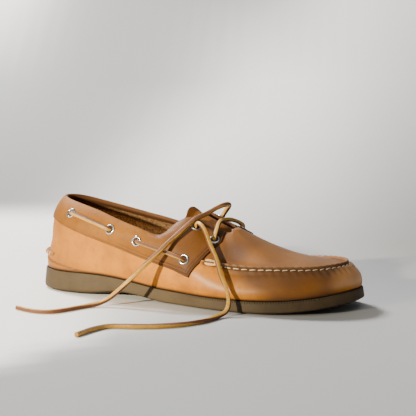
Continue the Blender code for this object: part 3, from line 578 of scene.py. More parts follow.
SECTION_COLUMNS = ("name", "edge_along", "edge_across", "seam_along", "seam_across", "seam_rise",
                   "top_along", "top_across", "top_rise", "full", "vamp")
SECTIONS = (
    ("heel_back", -0.500, 0.000, -0.472, 0.000, 0.48, -0.430, 0.000, 1.000, 0.40, 0),
    ("heel_back_outer", -0.489, -0.140, -0.463, -0.125, 0.48, -0.419, -0.080, 0.995, 0.40, 0),
    ("heel_corner_outer", -0.457, -0.250, -0.438, -0.220, 0.48, -0.390, -0.145, 0.970, 0.42, 0),
    ("heel_side_outer", -0.407, -0.318, -0.393, -0.295, 0.48, -0.345, -0.195, 0.930, 0.45, 0),
    ("heel_front_outer", -0.317, -0.340, -0.310, -0.338, 0.46, -0.273, -0.248, 0.866, 0.50, 0),
    ("waist_outer", -0.200, -0.345, -0.200, -0.365, 0.45, -0.177, -0.297, 0.775, 0.60, 0),
    ("quarter_outer", -0.133, -0.361, -0.140, -0.380, 0.455, -0.121, -0.313, 0.738, 0.65, 0),
    ("collar_low_outer", -0.067, -0.384, -0.078, -0.395, 0.46, -0.064, -0.318, 0.702, 0.70, 0),
    ("facing_outer", 0.010, -0.420, -0.012, -0.412, 0.48, -0.028, -0.235, 0.850, 0.75, 0),
    ("ear_outer", 0.067, -0.457, 0.030, -0.420, 0.47, 0.014, -0.140, 0.945, 0.80, 0),
    ("throat_outer", 0.117, -0.480, 0.080, -0.405, 0.44, 0.064, -0.122, 0.830, 0.85, 0.05),
    ("vamp_outer", 0.167, -0.489, 0.130, -0.372, 0.41, 0.113, -0.105, 0.780, 0.92, 0.6),
    ("ball_outer", 0.257, -0.4925, 0.220, -0.368, 0.39, 0.123, -0.065, 0.805, 1.00, 1),
    ("forefoot_outer", 0.343, -0.432, 0.307, -0.338, 0.385, 0.126, -0.040, 0.818, 1.00, 1),
    ("toe_corner_outer", 0.417, -0.312, 0.383, -0.262, 0.362, 0.127, -0.022, 0.823, 0.95, 1),
    ("toe_front_outer", 0.472, -0.140, 0.437, -0.135, 0.345, 0.128, -0.006, 0.824, 0.90, 1),
    ("toe_tip", 0.500, 0.067, 0.460, 0.050, 0.335, 0.128, 0.012, 0.824, 0.90, 1),
    ("toe_front_inner", 0.490, 0.238, 0.443, 0.180, 0.348, 0.128, 0.030, 0.822, 0.90, 1),
    ("toe_corner_inner", 0.453, 0.362, 0.403, 0.272, 0.360, 0.127, 0.048, 0.819, 0.95, 1),
    ("forefoot_inner", 0.383, 0.450, 0.343, 0.328, 0.363, 0.126, 0.068, 0.813, 0.95, 1),
    ("ball_inner", 0.290, 0.496, 0.270, 0.352, 0.375, 0.123, 0.096, 0.800, 0.95, 1),
    ("vamp_inner", 0.190, 0.477, 0.178, 0.345, 0.480, 0.115, 0.138, 0.772, 0.85, 0.6),
    ("throat_inner", 0.127, 0.432, 0.110, 0.352, 0.560, 0.066, 0.157, 0.830, 0.70, 0.05),
    ("ear_inner", 0.067, 0.385, 0.040, 0.362, 0.580, 0.014, 0.176, 0.940, 0.60, 0),
    ("facing_inner", 0.010, 0.345, -0.012, 0.358, 0.560, -0.030, 0.256, 0.830, 0.60, 0),
    ("collar_low_inner", -0.067, 0.315, -0.078, 0.346, 0.520, -0.070, 0.302, 0.700, 0.60, 0),
    ("quarter_inner", -0.133, 0.304, -0.140, 0.334, 0.495, -0.128, 0.297, 0.728, 0.60, 0),
    ("waist_inner", -0.200, 0.300, -0.200, 0.328, 0.470, -0.186, 0.282, 0.755, 0.60, 0),
    ("heel_front_inner", -0.317, 0.325, -0.310, 0.324, 0.470, -0.280, 0.238, 0.825, 0.50, 0),
    ("heel_side_inner", -0.407, 0.305, -0.393, 0.290, 0.48, -0.347, 0.190, 0.900, 0.45, 0),
    ("heel_corner_inner", -0.457, 0.243, -0.438, 0.214, 0.48, -0.390, 0.143, 0.955, 0.42, 0),
    ("heel_back_inner", -0.489, 0.138, -0.463, 0.123, 0.48, -0.419, 0.080, 0.990, 0.40, 0),
)
CREST = ((0.090, 0.905), (0.127, 0.826), (0.155, 0.755), (0.182, 0.692), (0.222, 0.610),
         (0.272, 0.526), (0.328, 0.460), (0.372, 0.425), (0.420, 0.375), (0.460, 0.335))
SOLE_COLUMNS = ("along", "heel", "ball", "spring", "arch")
SOLE_ROWS = (
    (-0.500, 1.00, 0.00, 0.00, 0.0),
    (-0.400, 1.00, 0.00, 0.00, 0.0),
    (-0.325, 1.00, 0.00, 0.00, 0.0),
    (-0.260, 0.97, 0.00, 0.00, 0.50),
    (-0.200, 0.75, 0.26, 0.00, 1.0),
    (-0.130, 0.44, 0.56, 0.00, 0.75),
    (-0.060, 0.18, 0.82, 0.00, 0.10),
    (0.000, 0.04, 0.99, 0.00, 0.0),
    (0.100, 0.00, 1.00, 0.00, 0.0),
    (0.220, 0.00, 1.00, 0.02, 0.0),
    (0.320, 0.00, 1.00, 0.17, 0.0),
    (0.420, 0.00, 1.00, 0.53, 0.0),
    (0.500, 0.00, 1.00, 1.00, 0.0),
)
BAND_EDGE = (
    ("vamp_outer", 1.55), ("throat_outer", 1.0), ("ear_outer", 0.50), ("facing_outer", 0.64),
    ("collar_low_outer", 0.80), ("quarter_outer", 0.89), ("waist_outer", 0.98),
    ("heel_front_outer", 1.12), ("heel_side_outer", 1.24), ("heel_corner_outer", 1.32),
    ("heel_back", 1.36), ("heel_corner_inner", 1.32), ("heel_side_inner", 1.22),
    ("heel_front_inner", 1.08), ("waist_inner", 0.90), ("quarter_inner", 0.80),
    ("collar_low_inner", 0.70), ("facing_inner", 0.55), ("ear_inner", 0.44),
    ("throat_inner", 0.90), ("vamp_inner", 1.55),
)
print("sections", len(SECTIONS))

# %% [markdown]
# The table becomes a surface that can be asked for any point: how far round the shoe, and which level,
# where 0 is at the sole, 1 at the moccasin seam and 2 at the collar or the throat. Straight pieces
# between the sections would show as facets in the polish, so smooth splines run through the table.


# %% The last as a surface
def column(rows, columns, name):
    return np.array([row[columns.index(name)] for row in rows], float)


def section_knots():
    x = column(SECTIONS, SECTION_COLUMNS, "edge_along") * LENGTH
    y = column(SECTIONS, SECTION_COLUMNS, "edge_across") * BALL_WIDTH
    steps = np.hypot(np.roll(x, -1) - x, np.roll(y, -1) - y)
    return np.concatenate([[0.0], np.cumsum(steps)]) / steps.sum()


KNOTS = section_knots()


def around(name, u):
    """A column of the section table as a smooth closed function of the place round the shoe."""
    values = column(SECTIONS, SECTION_COLUMNS, name)
    count = len(values)
    index = np.arange(-WRAP, count + WRAP)
    knots = KNOTS[index % count] + index // count
    return spline(knots, values[index % count], np.asarray(u, float) % 1.0)


def place_of(name):
    return KNOTS[[row[0] for row in SECTIONS].index(name)]


def sole_profile(x):
    """The sole's underside and top over the floor at a place along the shoe."""
    along = np.clip(np.asarray(x, float) / LENGTH, -0.5, 0.5)
    knots = column(SOLE_ROWS, SOLE_COLUMNS, "along")
    share = {name: spline(knots, column(SOLE_ROWS, SOLE_COLUMNS, name), along)
             for name in SOLE_COLUMNS[1:]}
    spring = np.where(along > 0.15, np.maximum(share["spring"], 0) * TOE_SPRING, 0)
    arch = np.where((along > -0.36) & (along < -0.04), np.maximum(share["arch"], 0), 0) * ARCH_LIFT
    return spring + arch, share["heel"] * SOLE_HEEL + share["ball"] * SOLE_BALL + spring


def outline(u, inset=0.0):
    """The sole's outline in plan, moved in by the inset, with its outward direction."""
    u = np.asarray(u, float)
    nudge = 1e-4
    x = around("edge_along", u) * LENGTH
    y = around("edge_across", u) * BALL_WIDTH
    dx = (around("edge_along", u + nudge) - around("edge_along", u - nudge)) * LENGTH
    dy = (around("edge_across", u + nudge) - around("edge_across", u - nudge)) * BALL_WIDTH
    size = np.hypot(dx, dy)
    out = np.stack([dy / size, -dx / size], axis=-1)
    return np.stack([x, y], axis=-1) - out * inset, out


def crest_height(x):
    """The vamp's ridge over the floor at a place along the shoe."""
    along = np.clip(np.asarray(x, float) / LENGTH, CREST[0][0], CREST[-1][0])
    rise = spline([c[0] for c in CREST], [c[1] for c in CREST], along)
    return sole_profile(x)[1] + rise * UPPER_RISE


def corner(name, u):
    """The seam line or the top edge at a place round the shoe."""
    x = around(name + "_along", u) * LENGTH
    y = around(name + "_across", u) * BALL_WIDTH
    z = sole_profile(x)[1] + around(name + "_rise", u) * UPPER_RISE
    return np.stack([x, y, z], axis=-1)


print("heel to toe", round(float(np.ptp(outline(np.linspace(0, 1, 400))[0][:, 0])), 4))

# %% [markdown]
# From those lines comes the leather's outer face. Below the seam it is a Bezier curve at each place,
# pulled out by the foot's fullness. Above it the quarters go straight up, and the vamp hangs from its
# own crest, with the two blended at the throat. A normal is read off by stepping a little each way.


# %% The leather's outer face
def over_seam(u, t):
    """From the seam line, at t = 0, to the collar or throat edge, at t = 1."""
    seam = corner("seam", u)
    top = corner("top", u)
    vamp = np.clip(around("vamp", u), 0, 1)
    point = seam + (top - seam) * t[..., None]
    seam_drop = crest_height(seam[..., 0]) - seam[..., 2]
    top_drop = crest_height(top[..., 0]) - top[..., 2]
    drop = seam_drop * (1 - t) ** 2 + top_drop * (1 - (1 - t) ** 2)
    over_vamp = crest_height(point[..., 0]) - drop
    swell = SIDE_SWELL * 4 * t * (1 - t)
    side = point[..., 2] + swell
    point[..., :2] += outline(u)[1] * (swell * (1 - vamp))[..., None]
    point[..., 2] = side + (over_vamp - side) * vamp
    return point


def surface(u, level):
    """The upper's outer surface."""
    u, level = np.broadcast_arrays(np.asarray(u, float), np.asarray(level, float))
    upper = over_seam(u, np.clip(level - 1, 0, 1))
    seam = corner("seam", u)
    lean = unit(over_seam(u, np.full(u.shape, 0.02)) - seam)
    plan, out = outline(u, SOLE_SLANT + FEATHER_INSET)
    foot = np.concatenate([plan, (sole_profile(plan[..., 0])[1] + CLEARANCE)[..., None]], axis=-1)
    height = (seam[..., 2] - foot[..., 2])[..., None]
    full = np.clip(around("full", u), 0, 2)[..., None]
    vamp = np.clip(around("vamp", u), 0, 1)[..., None]
    up = np.array([0.0, 0.0, 1.0])
    outwards = np.concatenate([out, np.zeros(out.shape[:-1] + (1,))], axis=-1)
    low = foot + outwards * BULGE * full + up * height * LOW_PULL
    high = seam - lean * height * HIGH_PULL - up * height * VAMP_PULL * vamp
    s = np.clip(level, 0, 1)[..., None]
    wall = ((1 - s) ** 3 * foot + 3 * (1 - s) ** 2 * s * low + 3 * (1 - s) * s ** 2 * high
            + s ** 3 * seam)
    return np.where(level[..., None] > 1, upper, wall)


def surface_normal(u, level):
    u, level = np.broadcast_arrays(np.asarray(u, float), np.asarray(level, float))
    du = surface(u + 1e-3, level) - surface(u - 1e-3, level)
    dv = surface(u, np.minimum(level + 0.02, 2)) - surface(u, np.maximum(level - 0.02, 0))
    return unit(np.cross(du, dv))


def band_level(u):
    """How far up the section the collar band's lower edge runs."""
    places = np.array([place_of(name) for name, level in BAND_EDGE])
    places = np.where(places > 0.5, places - 1, places)
    order = np.argsort(places)
    levels = np.array([level for name, level in BAND_EDGE])
    return np.interp(u, places[order], levels[order])


print("band edge at the heel's back, level", float(band_level(0.0)))

# %% [markdown]
# Machine stitches are one small form, repeated along a path. Copies could be set by hand or by an
# array on a curve, but then the leather's twist would tip them over. So Geometry Nodes lay them: the
# path is cut into even lengths, and each gets one thread, turned along the path and standing out of
# the leather. The same tree serves every row, with pitch, length, thickness and slant as its inputs.


# %% A row of stitches
def linker(tree):
    """A short way to join one node's output to another's input, both by name."""
    def link(first, out, second, into):
        tree.links.new(first.outputs[out], second.inputs[into])
    return link


def stitch_tree():
    """Geometry Nodes that put a thread on every step of a path whose points know which way is out."""
    tree = bpy.data.node_groups.new("stitch_row", "GeometryNodeTree")
    face = tree.interface
    face.new_socket("Geometry", in_out="INPUT", socket_type="NodeSocketGeometry")
    for name, value in (("Pitch", 0.006), ("Length", 0.004), ("Thickness", 0.0008), ("Slant", 0.0)):
        face.new_socket(name, in_out="INPUT", socket_type="NodeSocketFloat").default_value = value
    face.new_socket("Finish", in_out="INPUT", socket_type="NodeSocketMaterial")
    face.new_socket("Geometry", in_out="OUTPUT", socket_type="NodeSocketGeometry")
    nodes, link = tree.nodes, linker(tree)
    given = nodes.new("NodeGroupInput")
    result = nodes.new("NodeGroupOutput")
    line = nodes.new("GeometryNodeMeshToCurve")
    even = nodes.new("GeometryNodeResampleCurve")
    even.mode = "LENGTH"
    tangent = nodes.new("GeometryNodeInputTangent")
    out = nodes.new("GeometryNodeInputNamedAttribute")
    out.data_type = "FLOAT_VECTOR"
    out.inputs["Name"].default_value = "out"
    lie = nodes.new("FunctionNodeAlignRotationToVector")
    lie.axis = "X"
    stand = nodes.new("FunctionNodeAlignRotationToVector")
    stand.axis = "Z"
    stand.pivot_axis = "X"
    slant = nodes.new("FunctionNodeRotateRotation")
    slant.rotation_space = "LOCAL"
    about = nodes.new("FunctionNodeAxisAngleToRotation")
    about.inputs["Axis"].default_value = (0, 0, 1)
    ball = nodes.new("GeometryNodeMeshUVSphere")
    ball.inputs["Segments"].default_value = 10
    ball.inputs["Rings"].default_value = 6
    ball.inputs["Radius"].default_value = 0.5
    size = nodes.new("ShaderNodeCombineXYZ")
    put = nodes.new("GeometryNodeInstanceOnPoints")
    real = nodes.new("GeometryNodeRealizeInstances")
    dress = nodes.new("GeometryNodeSetMaterial")
    link(given, "Geometry", line, "Mesh")
    link(line, "Curve", even, "Curve")
    link(given, "Pitch", even, "Length")
    link(tangent, "Tangent", lie, "Vector")
    link(lie, "Rotation", stand, "Rotation")
    link(out, "Attribute", stand, "Vector")
    link(stand, "Rotation", slant, "Rotation")
    link(given, "Slant", about, "Angle")
    link(about, "Rotation", slant, "Rotate By")
    link(given, "Length", size, "X")
    link(given, "Thickness", size, "Y")
    link(given, "Thickness", size, "Z")
    link(even, "Curve", put, "Points")
    link(ball, "Mesh", put, "Instance")
    link(slant, "Rotation", put, "Rotation")
    link(size, "Vector", put, "Scale")
    link(put, "Instances", real, "Geometry")
    link(real, "Geometry", dress, "Geometry")
    link(given, "Finish", dress, "Material")
    link(dress, "Geometry", result, "Geometry")
    return tree


STITCHES = stitch_tree()


def point_vectors(mesh, key, vectors):
    """A direction for each point, which a tree can read by its name."""
    layer = mesh.attributes.new(key, "FLOAT_VECTOR", "POINT")
    layer.data.foreach_set("vector", np.asarray(vectors, np.float32).reshape(-1))


def grown(name, mesh, tree, **inputs):
    """A tree's work on a mesh, made real. A modifier knows an input by its identifier."""
    made = bpy.data.objects.new(name, mesh)
    bpy.context.scene.collection.objects.link(made)
    nodes = made.modifiers.new(tree.name, "NODES")
    nodes.node_group = tree
    keys = {item.name: item.identifier for item in tree.interface.items_tree if item.in_out == "INPUT"}
    for key, value in inputs.items():
        nodes[keys[key]] = value
    apply_modifiers(made)
    made.data.polygons.foreach_set("use_smooth", [True] * len(made.data.polygons))
    return made


def stitch_row(name, points, out, finish, slot, **sizes):
    """Sews a row along a path. Pitch, Length, Thickness and Slant are the tree's own inputs."""
    mesh = bpy.data.meshes.new(name)
    mesh.from_pydata(np.asarray(points).tolist(), [(i, i + 1) for i in range(len(points) - 1)], [])
    point_vectors(mesh, "out", out)
    hand_over(grown(name, mesh, STITCHES, Finish=finish, **sizes), slot)


print("stitch tree ready")

# %% [markdown]
# Where the steps of a pattern aren't even, or a pattern is turned two ways, it is simpler to say
# where each copy goes. This second tree puts one small mesh on every point of a list. Each point
# holds the way out of the leather, the way along, and a size. Eyelets and the thick hand-sewn
# threads use it, and as one tree makes them all, a change to it changes every copy.


# %% Patterns on points
def pattern_tree():
    """Geometry Nodes that put one object on every point, turned and sized as the point says."""
    tree = bpy.data.node_groups.new("put_on_points", "GeometryNodeTree")
    face = tree.interface
    face.new_socket("Geometry", in_out="INPUT", socket_type="NodeSocketGeometry")
    face.new_socket("Pattern", in_out="INPUT", socket_type="NodeSocketObject")
    face.new_socket("Finish", in_out="INPUT", socket_type="NodeSocketMaterial")
    face.new_socket("Geometry", in_out="OUTPUT", socket_type="NodeSocketGeometry")
    nodes, link = tree.nodes, linker(tree)
    given = nodes.new("NodeGroupInput")
    result = nodes.new("NodeGroupOutput")
    read = {}
    for name, kind in (("out", "FLOAT_VECTOR"), ("along", "FLOAT_VECTOR"), ("size", "FLOAT")):
        read[name] = nodes.new("GeometryNodeInputNamedAttribute")
        read[name].data_type = kind
        read[name].inputs["Name"].default_value = name
    face_out = nodes.new("FunctionNodeAlignRotationToVector")
    face_out.axis = "Z"
    turn = nodes.new("FunctionNodeAlignRotationToVector")
    turn.axis = "X"
    turn.pivot_axis = "Z"
    pattern = nodes.new("GeometryNodeObjectInfo")
    put = nodes.new("GeometryNodeInstanceOnPoints")
    real = nodes.new("GeometryNodeRealizeInstances")
    dress = nodes.new("GeometryNodeSetMaterial")
    link(given, "Pattern", pattern, "Object")
    link(read["out"], "Attribute", face_out, "Vector")
    link(face_out, "Rotation", turn, "Rotation")
    link(read["along"], "Attribute", turn, "Vector")
    link(read["size"], "Attribute", put, "Scale")
    link(given, "Geometry", put, "Points")
    link(pattern, "Geometry", put, "Instance")
    link(turn, "Rotation", put, "Rotation")
    link(put, "Instances", real, "Geometry")
    link(real, "Geometry", dress, "Geometry")
    link(given, "Finish", dress, "Material")
    link(dress, "Geometry", result, "Geometry")
    return tree


PATTERNS = pattern_tree()


def put_on_points(name, points, out, along, size, pattern, finish):
    """A copy of the pattern on each point, as one mesh."""
    mesh = bpy.data.meshes.new(name)
    mesh.from_pydata(np.asarray(points).tolist(), [], [])
    point_vectors(mesh, "out", out)
    point_vectors(mesh, "along", along)
    layer = mesh.attributes.new("size", "FLOAT", "POINT")
    layer.data.foreach_set("value", np.broadcast_to(size, len(points)).astype(np.float32))
    made = grown(name, mesh, PATTERNS, Pattern=pattern, Finish=finish)
    bpy.data.objects.remove(pattern)
    return made


print("pattern tree ready")

# %% [markdown]
# The upper is one wall of leather. Round the toe its edge is drawn up and sewn to the apron on top:
# the wall rolls over, the thread pulls a valley between the two, and the apron's edge stands up as a
# ridge that is nipped in at each stitch. This could be sculpted with a brush, but every stitch has to
# sit at its own even step. So the ridge is a cross-section, a short table of distances from the seam
# and heights, and the nips are a wave along it.

# %% The upper's seam section
SEAM_SECTION = (               # millimetres across the seam, and height over the leather
    (-11.0, 0.0), (-7.0, 0.15), (-4.2, 0.55), (-2.9, 0.78), (-2.0, 0.62), (-1.3, 0.10), (-0.8, 0.05),
    (-0.35, 1.0), (0.1, 2.60), (0.6, 3.10), (1.2, 3.05), (1.8, 2.30), (2.4, 0.60), (2.9, -0.30),
    (3.6, -0.35), (4.8, -0.10), (6.5, 0.0),
)
STITCH_PITCH_SIDE = 7.6 * MM
STITCH_PITCH_TOE = 5.6 * MM
UPPER_STATIONS = 500
UPPER_LEATHER = 1.5 * MM
NIP = 0.34                     # share of the ridge's height that a stitch pulls in


def stations(count, turn_weight=0.10):
    """Places round the shoe, closer together where the outline turns sharply."""
    fine = np.linspace(0, 1, 2401)
    plan, out = outline(fine)
    run = np.hypot(*np.diff(plan, axis=0).T)
    turn = np.linalg.norm(np.diff(out, axis=0), axis=1)
    weight = np.concatenate([[0.0], np.cumsum(run / LENGTH + turn_weight * turn)])
    return np.interp(np.arange(count) / count * weight[-1], weight, fine)


def levels_at(u, distances):
    """The levels that lie at given distances from the seam line, down the wall or up the top."""
    fine = np.linspace(0, 2, 161)
    points = surface(u[None, :], fine[:, None])
    steps = np.linalg.norm(np.diff(points, axis=0), axis=-1)
    run = np.concatenate([np.zeros((1, len(u))), np.cumsum(steps, axis=0)])
    run -= run[80]
    wanted = distances(-run[0], run[-1])
    return np.stack([np.interp(wanted[:, i], run[:, i], fine) for i in range(len(u))], axis=1), wanted


def upper_distances(below, above):
    """Rows from the sole to the collar, close together across the seam."""
    near = np.arange(-10, 7.01, 0.42) * MM
    low = np.linspace(0, 1, 20)[:-1, None] * (below + near[0]) - below
    high = near[-1] + np.linspace(0, 1, 25)[1:, None] * (above - near[-1])
    return np.concatenate([low, np.tile(near[:, None], (1, len(below))), high])


def seam_mask(u):
    """1 where the apron is sewn on, from one front of the collar band round the toe to the other."""
    first = place_of("throat_outer") - 0.002
    last = place_of("throat_inner") + 0.002
    rise = np.clip((u - first) / 0.006, 0, 1) * np.clip((last - u) / 0.006, 0, 1)
    return rise * rise * (3 - 2 * rise)


def toe_mask(x):
    """0 at the throat and 1 at the toe."""
    return np.clip((x - 0.06) / 0.07, 0, 1)


def stitch_phase(u):
    """Counts stitches along the seam line, closer together round the toe."""
    fine = np.linspace(0, 1, 3001)
    line = corner("seam", fine)
    pitch = STITCH_PITCH_SIDE + (STITCH_PITCH_TOE - STITCH_PITCH_SIDE) * toe_mask(line[:, 0])
    steps = np.linalg.norm(np.diff(line, axis=0), axis=1) / (pitch[1:] / 2 + pitch[:-1] / 2)
    count = np.concatenate([[0.0], np.cumsum(steps)])
    return np.interp(u, fine, count)


def soft(value, low, high):
    t = np.clip((value - low) / (high - low), 0, 1)
    return t * t * (3 - 2 * t)


def glow(place, middle, width):
    """1 in the middle and 0 a width away, as a soft hill."""
    return np.exp(-((place - middle) / width) ** 2)


sewn = stitch_phase(place_of("throat_inner")) - stitch_phase(place_of("throat_outer"))
print("stitches round the toe", int(sewn))

# %% [markdown]
# Two functions give the leather its relief. The first lays the seam's section on the surface, nipped
# at each stitch, with soft folds in the wall below it. The second adds what wearing does: a fold
# round the heel, soft creases where the foot bends, and a slow unevenness. A bump in the finish would
# be lost at the shoe's outline, and real height catches the light there, so they move the points.

# %% The relief of the seam and the creases
HEEL_CREASE = (0.42, 0.40)     # the level where the heel's fold begins, and how far it falls
HEEL_CREASE_DEPTH = 1.0 * MM
FLEXES = ((0.052, 0.30, 7.0), (0.070, 0.22, 5.0), (0.034, 0.24, 6.0))     # place in m, depth, width in mm
BENDS = ((-0.030, 0.020, 0.30), (-0.020, 0.032, 0.42), (-0.010, 0.044, 0.30))     # place, lean, depth


def seam_height(u, distance):
    """How far the seam's section stands off the leather, in metres."""
    across = distance / MM
    height = np.interp(across, [row[0] for row in SEAM_SECTION], [row[1] for row in SEAM_SECTION])
    phase = stitch_phase(u)
    nip = glow((phase + 0.5) % 1.0 - 0.5, 0, 0.12)
    ridge = glow(across, 0.8, 1.3)
    roll = glow(across, -3.2, 1.9)
    toe = toe_mask(corner("seam", u)[..., 0])
    height = height * (1 - NIP * nip * ridge)
    height = height + roll * (0.25 * (1 - nip) - 0.15 * nip)
    folds = glow(across, -5.5, 3.6) * np.cos(2 * math.pi * phase)
    height = height - folds * (0.05 + 0.20 * toe)
    return height * seam_mask(u) * MM


def creases(u, level, points):
    """Hollows at given places: the heel's fold, a soft flex at the ball, small bends, and the painted shade
    in the fold and the bends.
    """
    x = points[..., 0]
    height = np.zeros(x.shape)
    shade = np.zeros(x.shape)
    first, last = place_of("heel_back_outer") * 0.6, place_of("heel_front_outer")
    for side in (u, 1 - u):
        share = np.clip((side - first) / (last - first), 0, 1)
        path = HEEL_CREASE[0] - HEEL_CREASE[1] * share ** 0.8
        there = (side > first) * (share < 0.98)
        fold = glow(level, path, 0.019) * there
        under = glow(level - path, -0.07, 0.05) * there
        fades = np.clip(1.3 - share, 0, 1)
        height += (0.60 * under - fold) * HEEL_CREASE_DEPTH * fades
        # Painted shade inside the heel's fold.
        shade += 0.95 * fold * fades
    for place, depth, width in FLEXES:
        flex = glow(x - place, 0.003 * (level - 0.6), width * MM)
        height -= depth * MM * flex * soft(level, 0.15, 0.55) * (1 - soft(level, 0.80, 0.95))
    for place, lean, depth in BENDS:
        bend = glow(x - place, lean * (1.8 - level), 1.5 * MM)
        height -= depth * MM * bend * soft(level, 1.45, 1.75)
        shade += 0.12 * bend * soft(level, 1.45, 1.75)
    wave = np.sin(x / 0.021 + 3.1 * level) * np.sin(x / 0.037 - 2.3 * level + points[..., 1] / 0.03)
    height += 0.22 * MM * wave * soft(level, 0.12, 0.4) * (1 - seam_mask(u) * soft(level, 0.7, 0.9))
    return height, shade


print("creases at the ball", len(FLEXES), "and in the waist", len(BENDS))

# %% [markdown]
# The skin is a grid laid on the last's surface, from the sole up to the collar and closed round the
# heel. A grid of even rows would be too coarse at the seam or wasteful elsewhere, so its rows lie
# close together across the seam, and its columns where the shoe turns sharply. Under the collar band
# the top rows are drawn down a little, so that they stay hidden.

# %% The upper's skin
RIM_DROP = 0.07                # how far the hidden rim is lowered, in levels
RIM_FOLD = 0.6

u = stations(UPPER_STATIONS)
levels, distance = levels_at(u, upper_distances)
uu = np.broadcast_to(u, levels.shape)
off_vamp = 1 - soft(around("vamp", uu), 0.1, 0.5)
levels = levels - RIM_DROP * soft(levels, 1.80, 2.0) * off_vamp
skin = surface(uu, levels)
skin_normal = surface_normal(uu, levels)
hidden_rim = soft(levels, 1.93, 2.0) * off_vamp
crease_height, crease_shade = creases(uu, levels, skin)
skin = skin + skin_normal * (seam_height(uu, distance) + crease_height)[..., None]
skin[-1] += (skin[-2] - skin[-1]) * RIM_FOLD * hidden_rim[-1][:, None]
print("skin", skin.shape[0], "rows of", skin.shape[1], "points")

# %% [markdown]
# Waxed leather tells where it was handled: the seam's lip is dark, the apron and the toe are browner,
# and it is polished where it is rubbed. The same mask also holds painted shade: in the seam's valley
# and step, in the creases, along the sole, over the toe, at the heel, and as a painted shadow beside
# the facing. Noise can't know these places. So three masks are worked out from where each point lies:
# how dark it is, where raw hide shows pale, with a painted highlight on the toe's tip, and how much
# polish it has. A slow mottle keeps them uneven.

# %% The upper's wear and painted shade
TOE_BROWN_AND_SHADE = 0.76               # how far the toe's wall goes to the dark tone: brown burnish and painted shade
APRON_BROWN = 0.77
MOTTLE = 0.04
APRON_SHADOW = 0.24                 # a painted shadow on the apron beside the facing

skin_x = skin[..., 0]
across_mm = distance / MM
seam_on = seam_mask(uu)
outer_side = uu < 0.5
nips = glow((stitch_phase(uu) + 0.5) % 1.0 - 0.5, 0, 0.14)
mottle = MOTTLE * (np.sin(skin_x / 0.0083) * np.sin(skin[..., 1] / 0.0101 + 1.7)
                   + np.sin(skin_x / 0.0047 + 2 * levels) * np.sin(skin[..., 2] / 0.0060))
# Painted shade over the forefoot, mixed with the toe's brown burnish; it starts further back high on the wall
# and fades at the tip.
toe_start = 0.064 - 0.030 * soft(levels, 0.15, 0.8)
along_toe = soft(skin_x - toe_start, 0, 0.034) * (1 - 0.9 * soft(skin_x, 0.130, 0.145))
toe_wall = (along_toe * (1 - soft(levels, 0.98, 1.02))
            * (TOE_BROWN_AND_SHADE + 0.18 * soft(levels, 0.2, 0.75) + mottle))
# The lip's own dark cut edge is real; the dark in the valley beside it, at each nip and in the step down to
# the apron is painted shade.
wear_and_painted_shade = seam_on * (0.62 * glow(across_mm, -0.9, 0.8)
                     + (0.84 + 0.16 * nips) * glow(across_mm, 0.6, 1.0)
                     + 0.9 * glow(across_mm, 2.9, 0.9)
                     + 0.30 * glow(across_mm, -1.5, 4.0)
                     + (APRON_BROWN + mottle) * soft(across_mm, 2.0, 5.5))
# Painted shade along the join with the sole.
wear_and_painted_shade += 1.2 * glow(levels, 0, 0.045) + 0.16 * glow(levels, 0, 0.2)
# A painted shadow on the apron beside the facing, and painted shade over the toe and in the creases.
apron_shadow_off = ((skin_x - 0.047) / 0.012) ** 2 + ((levels - 1.26) / 0.34) ** 2
wear_and_painted_shade += toe_wall * seam_on + crease_shade + APRON_SHADOW * np.exp(-apron_shadow_off ** 1.5) * outer_side
# Painted shade towards the heel.
wear_and_painted_shade += 0.14 * soft(-skin_x, 0.01, 0.07) + 0.34 * soft(-skin_x, 0.085, 0.140)
low_wall = soft(levels, 0.12, 0.34) * (1 - soft(levels, 0.52, 0.80))
polish = 0.85 * low_wall * glow(skin_x, 0.035, 0.040) * outer_side
polish += 0.9 * soft(skin_x, 0.118, 0.145) * soft(levels, 0.1, 0.3) * (1 - soft(levels, 0.9, 1.0))
polish += 0.30 * soft(across_mm, 4.0, 12.0) * seam_on
pale_tone = 0.17 * seam_on * glow(across_mm, 0.7, 0.6) * np.clip(1 - 1.6 * nips, 0, 1)
# The toe's tip is paler: partly worn, partly a painted highlight.
pale_tone += 0.34 * soft(skin_x, 0.129, 0.147) * soft(levels, 0.1, 0.3) * (1 - soft(levels, 0.85, 0.96))
print("mean burnish", round(float(np.clip(wear_and_painted_shade, 0, 1).mean()), 2))

# %% [markdown]
# Leather has two sides, and the shoe is open at the top, so the inside shows. A second skin could be
# drawn by hand. The Solidify modifier does the same with one number: it thickens the skin inwards,
# gives the inner side the lining's finish and closes the rims.

# %% The upper's wall
upper = piece_from("moccasin_upper", skin, grid_faces(len(levels), UPPER_STATIONS, closed=True),
                   tan_leather, lining,
                   masks={"wear_and_painted_shade": np.clip(wear_and_painted_shade, 0, 1), "raw_edge_and_highlight": np.clip(pale_tone, 0, 1),
                          "polish": np.clip(polish, 0, 1)})
wall = upper.modifiers.new("wall", "SOLIDIFY")
wall.thickness = UPPER_LEATHER
wall.offset = -1
wall.use_even_offset = False
wall.material_offset = 1
wall.material_offset_rim = 0
apply_modifiers(upper)
hand_over(upper, "tan_leather", "upper")

# %% [markdown]
# The threads of the hand-sewn seam are the shoe's one bright line: thick waxed cord, one dash between
# two holes, sunk at both ends. The cream ones lie in the valley on the wall side, and smaller brown
# ones show behind the ridge. A straight rod would stick out at its ends, so one dash is modelled with
# its two bends, and the pattern tree puts it at each nip of the ridge, no two quite alike.

# %% Threads of the moccasin seam
THREAD = 0.94 * MM
DASH = 6.0 * MM
HOLE_DEPTH = 0.75 * MM
DASH_RINGS = 11
DASH_SIDES = 9


